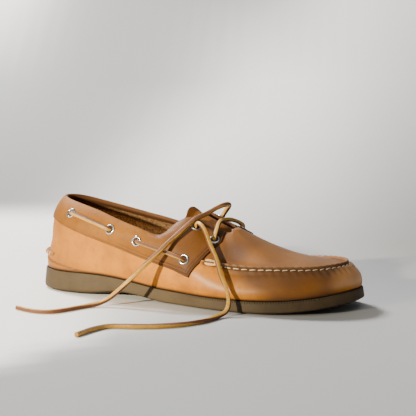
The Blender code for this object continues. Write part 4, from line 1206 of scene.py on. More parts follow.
def thread_dash():
    """One dash of waxed cord: full in the middle, and bent down into its two holes."""
    arc = np.linspace(-1, 1, DASH_RINGS)
    turn = np.arange(DASH_SIDES) / DASH_SIDES * 2 * math.pi
    width = THREAD / 2 * np.sqrt(np.clip(1.03 - np.abs(arc) ** 6, 0.02, 1)) * (1 - 0.12 * arc)
    rise = -HOLE_DEPTH * np.abs(arc) ** 3.5
    points = np.stack([np.broadcast_to((arc * DASH / 2)[:, None], (DASH_RINGS, DASH_SIDES)),
                       width[:, None] * np.cos(turn),
                       rise[:, None] + width[:, None] * 0.85 * np.sin(turn)], -1)
    faces = grid_faces(DASH_RINGS, DASH_SIDES, closed=True) + end_faces(DASH_RINGS, DASH_SIDES)
    made = piece_from("dash", points, faces, cream_thread)
    outward(made)
    return made


def seam_places():
    """The middle of each stitch, from the band's front on one side round the toe to the other."""
    fine = np.linspace(place_of("throat_outer"), place_of("throat_inner"), 4001)
    count = stitch_phase(fine)
    numbers = np.arange(math.ceil(count[0] + 1.6), math.floor(count[-1] - 1.6))
    return np.interp(numbers + 0.5, count, fine)


def seam_thread(name, across, lift, size, lean, finish):
    """Dashes along the seam at a distance across it, one to each nip of the ridge."""
    places = seam_places()
    level = levels_at(places, lambda below, above: np.full((1, len(below)), across))[0][0]
    out = surface_normal(places, level)
    point = surface(places, level) + out * (seam_height(places, np.full(len(places), across)) + lift)[:, None]
    along = unit(corner("seam", places + 1e-3) - corner("seam", places - 1e-3))
    toe_share = toe_mask(point[:, 0])
    random = np.random.default_rng(5)
    slant = np.radians(random.normal(0, 3, len(places)) + lean + 9 * toe_share)
    way = along * np.cos(slant)[:, None] + np.cross(out, along) * np.sin(slant)[:, None]
    sizes = size * (1 - 0.20 * toe_share) * random.uniform(0.94, 1.06, len(places))
    made = put_on_points(name, point, out, way, sizes, thread_dash(), finish)
    hand_over(made, "rawhide_lace")


seam_thread("seam_thread_wall", -0.95 * MM, 0.42 * MM, 1.0, 2, cream_thread)
seam_thread("seam_thread_apron", 2.65 * MM, 0.40 * MM, 0.72, -4, brown_thread)

# %% [markdown]
# At the throat the seam ends in a little folded tab of cut leather, pale on its raw face, held by a
# knot of the same thread. There is one on each side, beside the front edge of the collar band. A box
# set there would stand off the curved leather. So the tab follows the seam's own line for a few
# millimetres, with a flat rounded section, and the knot is three short dashes laid across it.

# %% Seam ends
TAB_LENGTH = 10.5 * MM
TAB_TALL = 5.4 * MM
TAB_THICK = 1.9 * MM
TAB_SPAN = (0.0048, 0.025)     # where it may lie, in shares of the way round the shoe
TAB_SIDES = 16
KNOT_STEP = 0.9 * MM
KNOT_DASHES = ((-1.2, 0.5), (0.0, -0.4), (1.2, 0.3))     # steps along the tab, and lean


def seam_tab(name, first, direction):
    """A small folded tab along the seam from a place round the shoe, with its knot."""
    u = first + direction * np.linspace(*TAB_SPAN, 28)
    level = levels_at(u, lambda below, above: np.full((1, len(below)), 0.9 * MM))[0][0]
    out = surface_normal(u, level)
    line = surface(u, level) + out * 1.3 * MM
    run = length_along(line)
    keep = run <= TAB_LENGTH
    line, out = line[keep], out[keep]
    along = unit(np.gradient(line, axis=0))
    tall = np.cross(out, along)
    share = np.linspace(0, 1, len(line))
    width = TAB_TALL * (0.62 + 0.38 * np.clip(share * 5, 0, 1)) * (1 - 0.35 * share ** 3) / 2
    turn = (np.arange(TAB_SIDES) + 0.5) / TAB_SIDES * 2 * math.pi
    a = np.clip(np.cos(turn) * 1.35, -1, 1)
    b = np.clip(np.sin(turn) * 1.35, -1, 1) * TAB_THICK / 2
    points = (line[:, None] + tall[:, None] * (a * width[:, None])[..., None]
              + out[:, None] * b[None, :, None])
    rings = len(line)
    faces = grid_faces(rings, TAB_SIDES, closed=True) + end_faces(rings, TAB_SIDES)
    pale_tone = np.tile(np.clip(0.8 + 0.4 * np.sin(turn), 0.5, 1), (rings, 1))
    made = piece_from(name, points, faces, tan_leather, masks={"raw_edge_and_highlight": pale_tone, "wear_and_painted_shade": pale_tone * 0})
    outward(made)
    hand_over(made, "tan_leather")
    middle = len(line) // 2
    top = line[middle] + out[middle] * (TAB_THICK / 2 + 0.15 * MM)
    spots = np.array([top + along[middle] * step * KNOT_STEP for step, lean in KNOT_DASHES])
    ways = np.array([tall[middle] + along[middle] * lean for step, lean in KNOT_DASHES])
    outs = np.tile(out[middle], (len(KNOT_DASHES), 1))
    knot = put_on_points(name + "_knot", spots, outs, ways, 0.5, thread_dash(), cream_thread)
    hand_over(knot, "rawhide_lace")


seam_tab("seam_end_outer", place_of("throat_outer") + 0.0005, 1)
seam_tab("seam_end_inner", place_of("throat_inner") - 0.0005, -1)

# %% [markdown]
# The collar band is a second layer of leather that runs from facing to facing round the heel. Its
# lower edge is cut and lies flat, its top rolls over the collar and comes down inside as a smooth
# binding. It could be cut out of the upper's mesh and thickened, but its edge would then follow the
# upper's grid in steps. So it is a section of its own, set at each place round the shoe: up the
# outside, round the rim, down the inside, and back under itself, where it is closed.

# %% Collar band
BAND_OUT = 1.55 * MM
BAND_IN = 2.35 * MM
BINDING_DEPTH = 7.5 * MM
EDGE_ROUND = 1.1 * MM
BAND_NEAR_ROWS = (0.0, 0.12, 0.3, 0.55, 0.85, 1.15, 1.45, 1.75, 2.0, 2.25, 2.55, 2.9, 3.4, 3.9, 4.2, 4.4,
                  4.6, 4.8, 5.1, 5.5, 6.2, 7.2)
BAND_FAR_ROWS = 26
STITCH_INSETS = (2.0, 4.6)     # the two rows of stitches, in mm from the cut edge
STITCH_SINK = 0.32 * MM
DOUBLE_FROM = -0.062           # the second row begins here along the shoe
SINGLE_FROM = -0.088
BAND_RIM_ROWS = 9
BAND_INSIDE_ROWS = 9
BAND_BACK_ROWS = 12
BAND_BACK_DEPTH = 0.7 * MM


def band_stations():
    """Places from one facing round the heel to the other, counted from the heel's back."""
    start, end = place_of("vamp_inner") - 1, place_of("vamp_outer")
    ear_in, ear_out = place_of("ear_inner") - 1, place_of("ear_outer")
    parts = [np.linspace(start, ear_in, 90)[:-1], np.linspace(ear_in, ear_out, 280)[:-1],
             np.linspace(ear_out, end, 90)]
    return np.concatenate(parts)


def distance_to(points, line):
    """The least distance of each point to a line of points."""
    flat = points.reshape(-1, 3)
    best = np.full(len(flat), 1e9)
    for spot in line:
        best = np.minimum(best, ((flat - spot) ** 2).sum(axis=1))
    return np.sqrt(best).reshape(points.shape[:-1])


def band_rows(u):
    """Levels at even distances from the band's lower edge to its rim, and below the rim inside."""
    fine = np.linspace(0, 2, 201)
    points = surface(u[None, :], fine[:, None])
    steps = np.linalg.norm(np.diff(points, axis=0), axis=-1)
    run = np.concatenate([np.zeros((1, len(u))), np.cumsum(steps, axis=0)])
    low = np.array([np.interp(level, fine, run[:, i]) for i, level in enumerate(band_level(u))])
    rim = run[-1] - (BAND_OUT + BAND_IN) / 2
    near = np.array(BAND_NEAR_ROWS)[:, None] * MM
    near = near * np.clip((rim - low) / (near[-1] * 1.4), 0, 1)
    far = low + near[-1] + (rim - low - near[-1]) * np.linspace(0, 1, BAND_FAR_ROWS)[1:, None]
    outside = np.concatenate([low + near, far])
    inside = run[-1] - np.linspace((BAND_OUT + BAND_IN) / 2, BINDING_DEPTH, BAND_INSIDE_ROWS)[:, None]
    inside = np.maximum(inside, low)
    return [np.stack([np.interp(rows[:, i], run[:, i], fine) for i in range(len(u))], axis=1)
            for rows in (outside, inside)]


print("band stations", len(band_stations()))

# %% [markdown]
# The outside comes first. It stands a leather's thickness off the upper, rounds down to nothing at
# its cut edge, and sinks a little under each row of stitches, with a faint puff between the two.
# A thickened sheet would have a square edge and no such dents, and both show in a low light.

# %% The band's outside
EDGE_UNDER = 0.25 * MM         # how deep the cut edge's foot goes into the upper
STITCH_WIDTH = 0.42            # in mm, as the distances from the edge are here
PUFF = 0.12 * MM

u = band_stations()
outside, inside = band_rows(u)
uu = np.broadcast_to(u, outside.shape)
flat_points = surface(uu, outside)
edge_line = surface(u, band_level(u))
edge_line = np.concatenate([edge_line, flat_points[:, 0], flat_points[:, -1]])
edge_distance = distance_to(flat_points, edge_line)
rounded = np.sqrt(1 - (1 - np.clip(edge_distance / EDGE_ROUND, 0, 1)) ** 2)
out = surface_normal(uu, outside)
shape_wave = creases(uu, outside, flat_points)[0] * 0.8
single = soft(flat_points[..., 0], SINGLE_FROM, SINGLE_FROM + 0.01)
double = soft(flat_points[..., 0], DOUBLE_FROM, DOUBLE_FROM + 0.01)
sunk = sum(glow(edge_distance / MM, inset, STITCH_WIDTH) * on
           for inset, on in zip(STITCH_INSETS, (single, double)))
puff = glow(edge_distance / MM, 3.3, 0.75) * double * PUFF
shape_wave = shape_wave - sunk * STITCH_SINK + puff
stands = (BAND_OUT + EDGE_UNDER) * rounded - EDGE_UNDER + shape_wave
outer_rows = flat_points + out * stands[..., None]
print("outside", len(outer_rows), "rows")

# %% [markdown]
# The rim is a half circle over the collar's edge, and below it the binding comes down inside. A few
# rows more go back up between the two layers to the start, so that the section is a closed loop.

# %% The band's rim, binding and back
BINDING_TUCK = 0.9 * MM        # how far the binding's lower edge is pulled in to the pile

rim_level = outside[-1]
centre = surface(u, rim_level) + surface_normal(u, rim_level) * ((BAND_OUT - BAND_IN) / 2)
rim_out = surface_normal(u, rim_level)
rim_up = unit(surface(u, rim_level) - surface(u, rim_level - 0.05))
angle = np.linspace(0, math.pi, BAND_RIM_ROWS + 2)[1:-1, None, None]
fade = rounded[-1][:, None]
rim_rows = centre + (BAND_OUT + BAND_IN) / 2 * (rim_out * np.cos(angle) * fade + rim_up * np.sin(angle))
inner_points = surface(np.broadcast_to(u, inside.shape), inside)
inner_out = surface_normal(np.broadcast_to(u, inside.shape), inside)
tuck = np.linspace(0, 1, BAND_INSIDE_ROWS)[:, None, None] ** 8 * BINDING_TUCK
inner_rows = inner_points - inner_out * (BAND_IN - tuck)
share = np.linspace(0, 1, BAND_BACK_ROWS + 2)[1:-1, None]
back = inside[-1] + (outside[0] - inside[-1]) * share
back_u = np.broadcast_to(u, back.shape)
back_rows = surface(back_u, back) - surface_normal(back_u, back) * BAND_BACK_DEPTH
rows = np.concatenate([outer_rows, rim_rows, inner_rows, back_rows])
print("section", len(rows), "points round")

# %% [markdown]
# The band is darkest along its cut edge, where the dye soaks in, and in the dents of its stitches. It
# is browner at the facings too. The same mask paints shade towards the heel and over the inner side's
# rim and binding. As on the upper, a mask says how much. The binding has its own finish, given to the
# faces from a little over the rim and down the inside.

# %% The band's wear, painted shade and faces
CUT_EDGE_DARK = 0.75
STITCH_DARK = 0.45
RIM_DARK = 0.10
BINDING_DARK = 0.3
BACK_DARK = 0.9
FACING_DARK = 0.74
BINDING_START = 4              # rows of the rim that already have the binding's finish

outside_wear = (CUT_EDGE_DARK * glow(edge_distance, 0, 0.8 * MM) + STITCH_DARK * sunk
                + 0.22 * glow(edge_distance, 0, 4 * MM))
band_wear_and_shade = np.concatenate([outside_wear, np.full((BAND_RIM_ROWS, len(u)), RIM_DARK),
                       np.full((BAND_INSIDE_ROWS, len(u)), BINDING_DARK),
                       np.full((BAND_BACK_ROWS, len(u)), BACK_DARK)])
# Painted shade on the rim, binding and back of the inner side.
band_wear_and_shade[len(outer_rows):] += 0.6 * soft(-u, 0.005, 0.03)
# Browner towards the facings, and painted shade towards the heel.
facing = soft(rows[..., 0], -0.055, 0.015) * FACING_DARK + 0.34 * soft(-rows[..., 0], 0.095, 0.145)
band_faces = grid_faces(len(rows), len(u), ring=True) + side_faces(len(rows), len(u))
band = piece_from("collar_leather", rows, band_faces, band_leather,
                  masks={"wear_and_painted_shade": np.clip(band_wear_and_shade + facing, 0, 1)})
band.data.materials.append(binding_leather)
inner_from = (len(outer_rows) + BAND_RIM_ROWS - BINDING_START) * (len(u) - 1)
inner_to = inner_from + (BAND_INSIDE_ROWS + BINDING_START) * (len(u) - 1)
for face in band.data.polygons[inner_from:inner_to]:
    face.material_index = 1
outward(band)
hand_over(band, "band_leather", "collar_band")
band_tree = BVHTree.FromPolygons([v.co for v in band.data.vertices],
                                 [p.vertices[:] for p in band.data.polygons])

# %% [markdown]
# The band is lockstitched along its cut edge in brown thread, two rows side by side towards the
# facings. Stitches drawn in the finish would lie flat under a low light, so they are threads. A path
# is moved in from the edge, laid back on the leather, and handed to the stitch tree.


# %% Stitching of the band
def inset_path(line, out, inset):
    """A path moved in from an edge, across the leather, with its tight places dropped."""
    along = unit(np.gradient(line, axis=0))
    moved = line + np.cross(out, along) * inset
    keep = distance_to(moved, line[::2]) > inset * 0.93
    return moved[keep]


def lay_on(tree, points, lift):
    """Puts points on a piece's surface, lifted off it, with the direction out of it."""
    laid, out = [], []
    for point in points:
        spot, normal = tree.find_nearest(Vector(point))[:2]
        laid.append(np.array(spot) + np.array(normal) * lift)
        out.append(np.array(normal))
    return np.array(laid), np.array(out)


edge_u = np.linspace(place_of("vamp_inner") - 1 + 0.002, place_of("vamp_outer") - 0.002, 1600)
edge = surface(edge_u, band_level(edge_u))
edge_out = surface_normal(edge_u, band_level(edge_u))
for number, (inset, start) in enumerate(zip(STITCH_INSETS, (SINGLE_FROM, DOUBLE_FROM))):
    path = inset_path(edge, edge_out, inset * MM)
    path = path[path[:, 0] > start + 0.004]
    for side, part in enumerate((path[path[:, 1] < 0], path[path[:, 1] > 0])):
        even = smooth_route(part[::6], 0.8 * MM)
        laid, normals = lay_on(band_tree, even, 0.08 * MM)
        stitch_row(f"band_stitches_{number}_{side}", laid, normals, brown_thread, "band_leather",
                   Pitch=2.6 * MM, Length=2.0 * MM, Thickness=0.72 * MM)

# %% [markdown]
# The lining is a warm pile that shows inside the quarters below the binding. Hair strands would need
# millions of faces for something this short, and a smooth wall would look like card. So it follows
# the wall at a constant depth, each point a fraction of a millimetre in or out at random from a fixed
# seed, and its finish does the tufts. It thins out under the binding, and a strip below the binding
# gets painted shade.

# %% Pile lining
LINING_DEPTH = UPPER_LEATHER - 0.1 * MM
LINING_BACK = 0.8 * MM         # the pile's hidden back, inside the leather
LINING_STATIONS = 300
LINING_ROWS = 60
LINING_LEVELS = (0.06, 1.90)
PILE_STANDS = 0.3 * MM
PILE_THINS = 0.75 * MM         # how much lower it is under the binding
SHADE_DARK = 0.92

u = stations(LINING_STATIONS)
levels = np.linspace(*LINING_LEVELS, LINING_ROWS)[:, None]
uu = np.broadcast_to(u, (LINING_ROWS, LINING_STATIONS))
shell = surface(uu, levels)
random = np.random.default_rng(11)
fuzz = random.uniform(-0.2, 0.3, shell.shape[:2]) * MM
shell_out = surface_normal(uu, np.broadcast_to(levels, uu.shape))
below_rim = np.linalg.norm(shell - surface(uu, np.full(uu.shape, 2.0)), axis=-1)
under_band = 1 - soft(below_rim, BINDING_DEPTH - 3.0 * MM, BINDING_DEPTH - 1.0 * MM)
depth = LINING_DEPTH + PILE_STANDS + fuzz - PILE_THINS * under_band
pile_face = shell - shell_out * depth[..., None]
pile_back = (shell - shell_out * LINING_BACK)[::-4]
# Painted shade on the pile in a strip under the binding.
binding_shade = SHADE_DARK * (1 - soft(below_rim, BINDING_DEPTH + 4 * MM, BINDING_DEPTH + 7.5 * MM))
back_shade = np.zeros(pile_back.shape[:2])
pile_faces = grid_faces(LINING_ROWS + len(pile_back), LINING_STATIONS, closed=True, ring=True)
pile = piece_from("pile_lining", np.concatenate([pile_face, pile_back]), pile_faces, lining,
                  masks={"wear_and_painted_shade": np.concatenate([binding_shade, back_shade])})
outward(pile)
hand_over(pile, "insole_leather")

# %% [markdown]
# The sock lining and the sole are both plates with the same outline, one inside the other. A flat
# outline could be filled and extruded, but these bend with the arch and the toe spring. So a plate is
# a stack of rings, each moved in from the outline and set at its own height, with matching points
# across the shoe, so that its top and bottom are strips of quads that bend well.


# %% Plates from rings
def side_at(x, side, inset):
    """The sole's outline on one side (-1 outer, 1 inner) at places along the shoe."""
    tip = place_of("toe_tip")
    u = np.linspace(0, tip, 1201) if side < 0 else np.linspace(1, tip, 1201)
    plan = outline(u, inset)[0]
    order = np.argsort(plan[:, 0])
    return np.interp(x, plan[order, 0], plan[order, 1])


def plate_ring(inset, height, half=150):
    """Points round the shoe at an inset, matched across, with a height for each."""
    swing = (1 - np.cos(np.linspace(0, math.pi, half))) / 2
    ends = outline(np.array([0.0, place_of("toe_tip")]), inset)[0][:, 0]
    x = ends[0] + (ends[1] - ends[0]) * swing
    outer = side_at(x, -1, inset)
    inner = side_at(x, 1, inset)
    middle = (outer[[0, -1]] + inner[[0, -1]]) / 2
    outer[[0, -1]] = middle
    ring_x = np.concatenate([x, x[-2:0:-1]])
    ring_y = np.concatenate([outer, inner[-2:0:-1]])
    return np.stack([ring_x, ring_y, height(ring_x)], axis=-1)


def plate(name, rings, *materials, masks=None):
    """A closed plate from rings of points, lowest first."""
    count = len(rings[0])
    half = count // 2 + 1
    faces = grid_faces(len(rings), count, closed=True)
    for start, turned in ((0, True), ((len(rings) - 1) * count, False)):
        for i in range(half - 1):
            face = [start + i, start + i + 1, start + (count - i - 1) % count, start + (count - i) % count]
            face = list(dict.fromkeys(face))
            faces.append(tuple(face[::-1] if turned else face))
    return piece_from(name, np.concatenate(rings), faces, *materials, masks=masks)


print("half width at the ball", round(float(side_at(0.08, -1, 0)), 4))

# %% [markdown]
# The sock lining is the thin leather that the foot stands on. It is a plate with soft edges, a little
# smaller than the sole and 3.5 mm thick, and it closes the upper from below.

# %% Sock lining
SOCK_RINGS = ((5.6, 0.0), (5.5, 2.9), (6.0, 3.3), (7.0, 3.5))     # inset and rise, in mm


def insole_height(rise):
    return lambda x: sole_profile(x)[1] + CLEARANCE + rise


sock_rings = [plate_ring(inset * MM, insole_height(rise * MM)) for inset, rise in SOCK_RINGS]
sock = plate("sock_lining", sock_rings, insole_leather)
outward(sock)
hand_over(sock, "insole_leather", "insole")

# %% [markdown]
# The sole is moulded in one piece. From the side it is a thick wedge under the heel that thins over
# the arch and springs up at the toe. Its wall leans in a little, its lower corner is bevelled and its
# top lip stands proud of a fine groove where it meets the leather, ribbed round the forefoot. A block
# could be cut and bevelled to this, but its wall changes height all the way round. So the wall is one
# profile of insets and shares of the height, and the plate helper turns it into rings.

# %% Sole
SOLE_WALL = (                  # inset from the outline in mm, and share of the way up
    (6.0, 0.0), (4.2, 0.0), (3.6, 0.02), (1.3, 0.09), (0.35, 0.13), (0.05, 0.18), (0.0, 0.25), (0.25, 0.40),
    (0.5, 0.55), (0.8, 0.70), (1.05, 0.82), (1.2, 0.90), (1.3, 0.95), (1.55, 0.985), (1.9, 1.0),
    (2.6, 1.0), (2.9, 0.97), (3.6, 0.95), (6.0, 0.95),
)
WIDEST_RING = 6
SOLE_HALF = 260                # points of a ring from the heel to the toe
# How dark the painted shade on the bevel underneath is.
SOLE_UNDER_SHADE = 0.9


def wall_height(share):
    def height(x):
        under, top = sole_profile(x)
        return under + (top - under) * share
    return height


def groove_shade(inset, share):
    """How much painted shade a ring gets for the groove at the top: all of it, a third of it on the lip, or
    none.
    """
    if inset >= 2.6 and share > 0.9:
        return 1.0
    return 0.35 if share > 0.97 else 0.0


rings = [plate_ring(inset * MM, wall_height(share), SOLE_HALF) for inset, share in SOLE_WALL]
ring_count = len(rings[0])
ring_x = np.concatenate([ring[:, 0] for ring in rings])
shares = np.repeat([share for inset, share in SOLE_WALL], ring_count)
groove = np.repeat([groove_shade(inset, share) for inset, share in SOLE_WALL], ring_count)
# Painted shade: dark on the bevel underneath, and darker towards the heel and over the forefoot.
sole_painted_shade = SOLE_UNDER_SHADE * (shares < 0.1)
sole_painted_shade += 0.16 * soft(-ring_x, 0.07, 0.12) + 0.25 * glow(ring_x, 0.085, 0.035)
edge_run = length_along(rings[WIDEST_RING])
rib = soft(ring_x, -0.005, 0.03) * (0.84 < shares) * (shares < 0.99)
under = (shares == 0) * 1.0
sole = plate("moulded_sole", rings, sole_rubber,
             masks={"wear_and_painted_shade": np.maximum(groove, sole_painted_shade), "run": np.tile(edge_run, len(rings)),
                    "rib": rib, "under": under})
outward(sole)
hand_over(sole, "sole_rubber", "sole")

# %% [markdown]
# The tongue is a plain tab of softer leather that comes up from under the apron and ends in a lobe. A
# bent plane would do at a distance, but the lobe is wider on one side and its edge turns down. So it
# is a grid over its own line of heights, thickened by a Solidify modifier, with a Bevel for its edge.

# %% Tongue
TONGUE_LINE = ((0.155, 0.655, 0.160), (0.127, 0.725, 0.165), (0.100, 0.780, 0.168),
               (0.073, 0.828, 0.172), (0.040, 0.888, 0.180), (0.013, 0.940, 0.190),
               (-0.004, 0.974, 0.195))
TONGUE_MIDDLE = 0.030
TONGUE_SLOPE = 0.62
TONGUE_ROUND = 0.060
TONGUE_SKEW = 0.24
TIP_SLOPE = 0.9
LOBE_REACH = 4.5 * MM
LOBE_HALF_WIDTH = 14 * MM
LOBE_SHIFT = 2 * MM
TONGUE_THICKNESS = 1.8 * MM


def tongue_surface(s, q):
    """The tongue's outer face: s from its front to its tip, q across from -1 to 1."""
    knots = np.linspace(0, 1, len(TONGUE_LINE))
    along = spline(knots, [row[0] for row in TONGUE_LINE], s)
    half = spline(knots, [row[2] for row in TONGUE_LINE], s) * BALL_WIDTH
    offset = q * half
    lobe = LOBE_REACH * np.exp(-((offset - LOBE_SHIFT) / LOBE_HALF_WIDTH) ** 4)
    x = along * LENGTH + (TONGUE_SKEW * offset - lobe) * s ** 2
    lines = [row[0] for row in TONGUE_LINE][::-1]
    rises = [row[1] for row in TONGUE_LINE][::-1]
    rise = spline(lines, rises, np.clip(x / LENGTH, lines[0], lines[-1]))
    beyond = np.maximum(lines[0] - x / LENGTH, 0) * LENGTH
    rounding = TONGUE_ROUND * BALL_WIDTH
    droop = TONGUE_SLOPE * (np.sqrt(offset ** 2 + rounding ** 2) - rounding)
    z = sole_profile(along * LENGTH)[1] + rise * UPPER_RISE + beyond * TIP_SLOPE - droop
    return np.stack([x, TONGUE_MIDDLE * BALL_WIDTH + offset, z], axis=-1)


s, q = np.meshgrid(np.linspace(0, 1, 50), np.linspace(-1, 1, 60), indexing="ij")
tongue_points = tongue_surface(s, q)
tongue_wave = 0.35 * MM * np.sin(tongue_points[..., 0] / 0.006 + q * 2) * (1 - s) ** 0.5
tongue_points[..., 2] += tongue_wave * (1 - np.abs(q) ** 3)
edge_dark = 0.5 * np.abs(q) ** 14 + 0.5 * s ** 20
tongue = piece_from("tongue_leather_tab", tongue_points,
                    [face[::-1] for face in grid_faces(50, 60)], tongue_leather,
                    masks={"wear_and_painted_shade": edge_dark})
wall = tongue.modifiers.new("wall", "SOLIDIFY")
wall.thickness = TONGUE_THICKNESS
wall.offset = -1
soft_edge = tongue.modifiers.new("soft_edge", "BEVEL")
soft_edge.width = 0.5 * MM
soft_edge.segments = 3
soft_edge.limit_method = "ANGLE"
soft_edge.angle_limit = math.radians(50)
apply_modifiers(tongue)
hand_over(tongue, "tan_leather", "tongue")

# %% [markdown]
# Each eyelet is a plated ring: a domed flange that presses on the leather and a barrel that goes
# down through it. A torus would be too round, because a set eyelet is flat and rolled at its edge. So
# a profile is turned once, and Geometry Nodes put it on the twelve places, each facing out of the
# leather. A dark disc closes each barrel as painted shade, which is cheaper than a hole through the wall.

# %% Eyelets
EYELETS = (
    ("outer_rear", -0.366, -0.275, 0.813), ("outer_waist", -0.218, -0.368, 0.669),
    ("outer_middle", -0.126, -0.401, 0.602), ("outer_front", 0.032, -0.434, 0.467),
    ("outer_upper_facing", 0.036, -0.234, 0.851), ("outer_lower_facing", 0.100, -0.257, 0.714),
    ("inner_rear", -0.366, 0.262, 0.795), ("inner_waist", -0.222, 0.325, 0.655),
    ("inner_middle", -0.130, 0.350, 0.590), ("inner_front", 0.032, 0.390, 0.520),
    ("inner_upper_facing", 0.036, 0.268, 0.845), ("inner_lower_facing", 0.100, 0.292, 0.715),
)
EYELET_PROFILE = (             # radius and height over the band, in mm
    (4.60, -0.15), (4.60, 0.15), (4.50, 0.45), (4.24, 0.74), (3.88, 0.90), (3.50, 0.88),
    (3.18, 0.68), (2.98, 0.35), (2.88, -0.05), (2.84, -0.9),
)
EYELET_SIDES = 40
DISC_PROFILE = ((0.02, 0.05), (1.2, 0.06), (2.93, 0.10), (2.93, -0.5), (0.02, -0.5))


def locate(name):
    """An eyelet's centre on the leather and its outward direction."""
    row = EYELETS[[row[0] for row in EYELETS].index(name)]
    x = row[1] * LENGTH
    target = np.array([x, row[2] * BALL_WIDTH, sole_profile(x)[1] + row[3] * UPPER_RISE])
    tip = place_of("toe_tip")
    low, high = (0.0, tip) if target[1] < 0 else (tip, 1.0)
    u, level = np.meshgrid(np.linspace(low, high, 400), np.linspace(0.3, 1.95, 67), indexing="ij")
    gap = np.linalg.norm(surface(u, level) - target, axis=-1)
    best = np.unravel_index(np.argmin(gap), gap.shape)
    place, height = np.array([u[best]]), np.array([level[best]])
    return surface(place, height)[0], surface_normal(place, height)[0]


def ring_profile(profile):
    """Points and faces of a profile turned about Z."""
    turn = np.arange(EYELET_SIDES) / EYELET_SIDES * 2 * math.pi
    points = np.array([[(r * math.cos(a), r * math.sin(a), h) for a in turn] for r, h in profile]) * MM
    return points, grid_faces(len(profile), EYELET_SIDES, closed=True, ring=True)


spots = [locate(row[0]) for row in EYELETS]
eyelet_out = np.array([spot[1] for spot in spots])
eyelet_base = np.array([spot[0] for spot in spots]) + eyelet_out * (BAND_OUT + 0.02 * MM)
ring_points, ring_faces = ring_profile(EYELET_PROFILE)
ring = piece_from("ring_pattern", ring_points, ring_faces, nickel)
outward(ring)
level_way = np.tile([1.0, 0.0, 0.0], (len(EYELETS), 1))
rings_piece = put_on_points("eyelet_rings", eyelet_base, eyelet_out, level_way, 1.0, ring, nickel)
hand_over(rings_piece, "nickel", *["eyelet_" + row[0] for row in EYELETS])
# The dark discs are painted shade inside the barrels.
disc_points, disc_faces = ring_profile(DISC_PROFILE)
disc = piece_from("disc_pattern", disc_points, disc_faces, hole_painted_shade)
outward(disc)
discs = put_on_points("eyelet_holes", eyelet_base, eyelet_out, level_way, 1.0, disc, hole_painted_shade)
hand_over(discs, "insole_leather")

# %% [markdown]
# Along each side the thong comes out of one eyelet, lies on the band and dives into the next. A curve
# drawn straight from eyelet to eyelet would cut through the swell between them. So each run's points
# are first laid on the band, and then lifted to the lace's height, lower where it dives in.

# %% Laced runs along the sides
RUN_HEIGHT = BAND_OUT + 1.0 * MM + LACE_WIDTH * 0.40
SIDE_RUNS = (
    ("lace_outer_rear", "outer_rear", "outer_waist", -40),
    ("lace_outer_front", "outer_middle", "outer_front", -78),
    ("lace_inner_rear", "inner_rear", "inner_waist", 40),
    ("lace_inner_front", "inner_middle", "inner_front", 50),
)
for name, first, last, roll in SIDE_RUNS:
    start, start_out = locate(first)
    end, end_out = locate(last)
    run = np.linalg.norm(end - start)
    dive, lies = 2.2 * MM / run, 6.0 * MM / run
    share = np.array([0.0, dive, lies, 0.3, 0.5, 0.7, 1 - lies, 1 - dive, 1.0])
    height = np.full(9, RUN_HEIGHT)
    height[[0, -1]] = 0.2 * MM
    height[[1, -2]] = RUN_HEIGHT * 0.80
    base = start + (end - start) * share[:, None]
    out = unit(start_out + (end_out - start_out) * share[:, None])
    laid = [band_tree.find_nearest(Vector(point + n * 3 * MM))[0] for point, n in zip(base, out)]
    route = np.array([np.array(spot) - n * BAND_OUT + n * h for spot, n, h in zip(laid, out, height)])
    lace = thong("thong_" + name[5:], route, [(0, roll), (8, roll + 8)], LACE_WIDTH * 0.92)[0]
    outward(lace)
    hand_over(lace, "rawhide_lace", name)

# %% [markdown]
# Across the throat the thong makes one bar from facing to facing. It is pulled tight over the tongue,
# so it isn't a straight line but a low arch. Its route comes out of each lower eyelet, bends over,
# and meets at one crest in the middle.

# %% The bar across the throat
BAR_CREST = (0.080, 0.030, 0.905)
outer, outer_out = locate("outer_lower_facing")
inner, inner_out = locate("inner_lower_facing")
crest_x = BAR_CREST[0] * LENGTH
crest_z = sole_profile(crest_x)[1] + BAR_CREST[2] * UPPER_RISE
crest = np.array([crest_x, BAR_CREST[1] * BALL_WIDTH, crest_z])
lift = RUN_HEIGHT + 1.2 * MM
side_in = unit(crest - outer)
side_back = unit(crest - inner)
route = [outer + outer_out * 0.4 * MM, outer + outer_out * (lift - 1.2 * MM) + side_in * 2.0 * MM,
         outer + outer_out * lift + side_in * 6 * MM, crest, inner + inner_out * lift + side_back * 6 * MM,
         inner + inner_out * (lift - 1.2 * MM) + side_back * 2.0 * MM, inner + inner_out * 0.4 * MM]
bar = thong("thong_throat_bar", route, [(0, 16), (6, 30)], LACE_WIDTH * 0.96)[0]
outward(bar)
hand_over(bar, "rawhide_lace", "lace_throat_bar")

# %% [markdown]
# Across the heel's back the leather is gathered into a short ridge and oversewn in pale thread. It
# could be part of the upper's relief, but it has a clear edge of its own all round. So it is a small
# profile swept round the heel on the upper's surface, with gathers along it, and the stitch tree
# lays its threads aslant.

# %% Heel ridge
HEEL_REACH = 0.056
HEEL_LEVEL = 0.46
HEEL_TALL = 0.165
HEEL_PROFILE = ((-0.66, -0.3), (-0.54, 0.2), (-0.42, 1.6), (-0.20, 2.7), (0.0, 3.0), (0.20, 2.7),
                (0.42, 1.7), (0.54, 0.25), (0.66, -0.3))
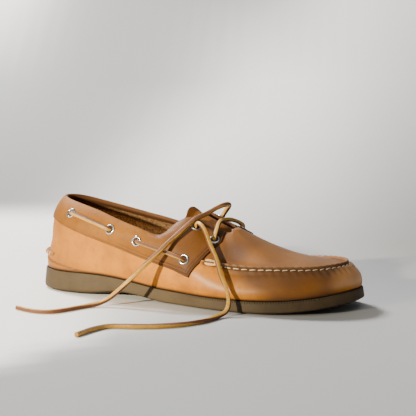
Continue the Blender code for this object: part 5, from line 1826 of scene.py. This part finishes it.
# The ridge's own darker leather, with painted shade towards its foot where it meets the upper.
HEEL_TONE_AND_SHADE = (1.0, 1.0, 0.75, 0.55, 0.45, 0.55, 0.75, 1.0, 1.0)
HEEL_STATIONS = 90
heel_u = np.linspace(-HEEL_REACH, HEEL_REACH, HEEL_STATIONS)
fade = 0.30 + 0.70 * np.clip(1 - (heel_u / HEEL_REACH) ** 6, 0, 1) ** 0.5
gather = 1 + 0.14 * np.cos(heel_u / HEEL_REACH * 40)
ridge_rows = []
for across, lift in HEEL_PROFILE:
    level = HEEL_LEVEL + across * HEEL_TALL * fade
    ridge_rows.append(surface(heel_u, level) + surface_normal(heel_u, level)
                      * (lift * MM * fade * np.where(lift > 0, gather, 1))[:, None])
ridge_tone_and_shade = np.tile(np.array(HEEL_TONE_AND_SHADE)[:, None], (1, HEEL_STATIONS))
ridge_faces = grid_faces(len(HEEL_PROFILE), HEEL_STATIONS, ring=True)
ridge_faces += side_faces(len(HEEL_PROFILE), HEEL_STATIONS)
ridge = piece_from("heel_ridge", np.stack(ridge_rows), ridge_faces, tan_leather,
                   masks={"wear_and_painted_shade": ridge_tone_and_shade})
outward(ridge)
hand_over(ridge, "tan_leather", "heel_seam")
thread_u = np.linspace(-HEEL_REACH * 0.86, HEEL_REACH * 0.86, 200)
thread_level = np.full(200, HEEL_LEVEL)
thread_fade = 0.30 + 0.70 * (1 - (thread_u / HEEL_REACH) ** 6) ** 0.5
thread_out = surface_normal(thread_u, thread_level)
thread_line = surface(thread_u, thread_level) + thread_out * (2.85 * MM * thread_fade)[:, None]
stitch_row("heel_threads", thread_line, thread_out, cream_thread, "rawhide_lace",
           Pitch=4.8 * MM, Length=4.0 * MM, Thickness=0.62 * MM, Slant=math.radians(62))

# %% [markdown]
# A plain pale floor runs up into a backdrop without a corner, so no line cuts the picture behind the
# shoe. A floor and a wall would meet in one, and a bare world colour would give the shoe nothing to
# stand on. The sheet has painted light: a painted streak of sun slants over its wall, with painted
# shade beside it, and a painted pale patch lies on the floor to the left. Both follow where the camera
# sees each point of it.

# %% Floor and backdrop
PALEST = 0.95


def sheet_piece(name, points, faces, finish, masks=None):
    made = piece_from(name, points, faces, finish, masks=masks)


def painted_backdrop_light(across, up):
    """Painted light on the sheet: a painted streak of sun slants over the wall, with painted shade round it,
    and a painted patch lies on the floor to the left.

    Across and up are where the camera sees a place, as shares of the picture's width.
    """
    slant = (across - 0.77 + 1.06 * (0.90 - up)) / 1.46
    streak = np.where(slant < 0, glow(slant, 0, 0.13), glow(slant, 0, 0.36))
    wall = 0.235 + 0.37 * streak + 0.42 * glow(np.hypot(across, up - 1), 0, 0.13)
    wall = wall * (1 - 0.16 * soft(across, 0.72, 1.0))
    front = 0.44 - 0.02 * soft(across, 0.3, 1.0)
    floor = soft(-up, -0.44, -0.22)
    patch = (1 - soft(across, 0.10, 0.40)) * soft(-up, -0.52, -0.46) * soft(up - 0.30 * across, 0.10, 0.14)
    painted_light = wall + (front - wall) * floor
    return np.clip(painted_light + (PALEST - painted_light) * patch, 0, PALEST)


def backdrop():
    """The sheet: flat under the shoe, then curved up into a wall behind it."""
    profile = [(y, 0.0) for y in np.linspace(-1.4, 0.9, 90)]
    profile += [(1.5, 0.02), (1.9, 0.10), (2.2, 0.30)] + [(2.4, z) for z in np.linspace(0.5, 2.4, 40)]
    side = np.linspace(-2.6, 2.6, 130)
    turn = np.array(Matrix.Rotation(math.radians(CAMERA_TURN), 3, "Z"))
    points = np.array([[(x, y, z) for x in side] for y, z in profile]) @ turn.T
    seen = (points - np.array(CAMERA_PLACE)) @ np.array(camera.rotation_euler.to_matrix())
    away = np.maximum(-seen[..., 2], 0.05)
    across = 0.5 + seen[..., 0] / away * LENS / SENSOR
    up = 0.5 + seen[..., 1] / away * LENS / SENSOR
    f = Finish("pale_floor")
    f.shader.inputs["Specular IOR Level"].default_value = 0.2
    # The sheet's colour follows the painted light and shade.
    shade = f.mix(f.attribute("painted_light"), (0, 0, 0, 1), (1.0, 0.99, 0.97, 1))
    finish = f.set(base_color=shade, roughness=0.9)
    sheet_piece("floor", points, grid_faces(len(profile), len(side)), finish,
                {"painted_light": painted_backdrop_light(across, up)})


backdrop()
print("floor ready")

# %% [markdown]
# One small lamp stands low, in front and to the left: a low light lays the laces' shadows down the
# side and leaves the top darker, which shows the form better than a lamp overhead. The toe would be
# too bright in it. Turning the lamp away would change every shadow, so a grey scrim stands between
# the lamp and the toe instead, as a photographer would hold one, and lets a quarter through.

# %% The scrim
KEY_FROM = (-0.358, -0.887, 0.292)
KEY_DISTANCE = 3.2
CARD_DISTANCE = 1.55
CARD_EDGE = 0.076              # how far past the shoe's middle the card's shade begins
CARD_WIDTH = 0.30
CARD_HALF_HEIGHT = 0.25
CARD_PASSES = 0.26


def card():
    """A grey scrim between the lamp and the toe."""
    to_lamp = Vector(KEY_FROM).normalized()
    side = to_lamp.cross(Vector((0, 0, 1))).normalized() * -1
    up = side.cross(to_lamp)
    near = to_lamp * CARD_DISTANCE + side * CARD_EDGE * (1 - CARD_DISTANCE / KEY_DISTANCE)
    far = near + side * CARD_WIDTH
    rise = up * CARD_HALF_HEIGHT
    corners = [near - rise, far - rise, far + rise, near + rise]
    f = Finish("scrim")
    clear = f.node("ShaderNodeBsdfTransparent", None, {"Color": (1, 1, 1, 1)})
    black = f.node("ShaderNodeBsdfDiffuse", None, {"Color": (0.02, 0.02, 0.02, 1)})
    mix = f.node("ShaderNodeMixShader", None, {0: CARD_PASSES, 1: black, 2: clear})
    f.tree.links.new(mix.socket, f.tree.nodes["Material Output"].inputs["Surface"])
    sheet_piece("scrim_card", [tuple(c) for c in corners], [(0, 1, 2, 3)], f.material)


card()
print("scrim ready")

# %% [markdown]
# Three lamps light the shoe. The key lamp is small, so its shadows have an edge. A broad one above
# fills the shade, and a third one lights the backdrop alone. A dim sky in the world keeps the
# darkest places from going black.

# %% Lamps and world
KEY_PLACE = Vector(KEY_FROM).normalized() * KEY_DISTANCE
LAMPS = (                      # name, place, what it looks at, width in m, power in W and colour
    ("key", KEY_PLACE, (0, 0, 0), 0.13, 292, (1.0, 0.90, 0.66)),
    ("fill", (0.52, -0.78, 2.4), (0, 0, 0), 2.0, 13, (0.96, 0.98, 1.0)),
    ("backdrop_lamp", (-1.9, 0.9, 2.3), (-1.2, 1.5, 0.1), 0.8, 230, (0.98, 0.985, 1.0)),
)
SKY_STRENGTH = 0.18


def lamp(name, place, target, size, power, color):
    light = bpy.data.lights.new(name, "AREA")
    light.shape = "DISK"
    light.size = size
    light.energy = power
    light.color = color
    made = bpy.data.objects.new(name, light)
    made.location = place
    made.rotation_euler = (Vector(place) - Vector(target)).to_track_quat("Z", "Y").to_euler()
    bpy.context.scene.collection.objects.link(made)


for row in LAMPS:
    lamp(*row)
world = bpy.data.worlds.new("studio")
world.use_nodes = True
sky = world.node_tree.nodes["Background"]
sky.inputs["Color"].default_value = (0.93, 0.95, 1.0, 1)
sky.inputs["Strength"].default_value = SKY_STRENGTH
bpy.context.scene.world = world
print("lights ready")

# %% [markdown]

# %% End
print("scene built")
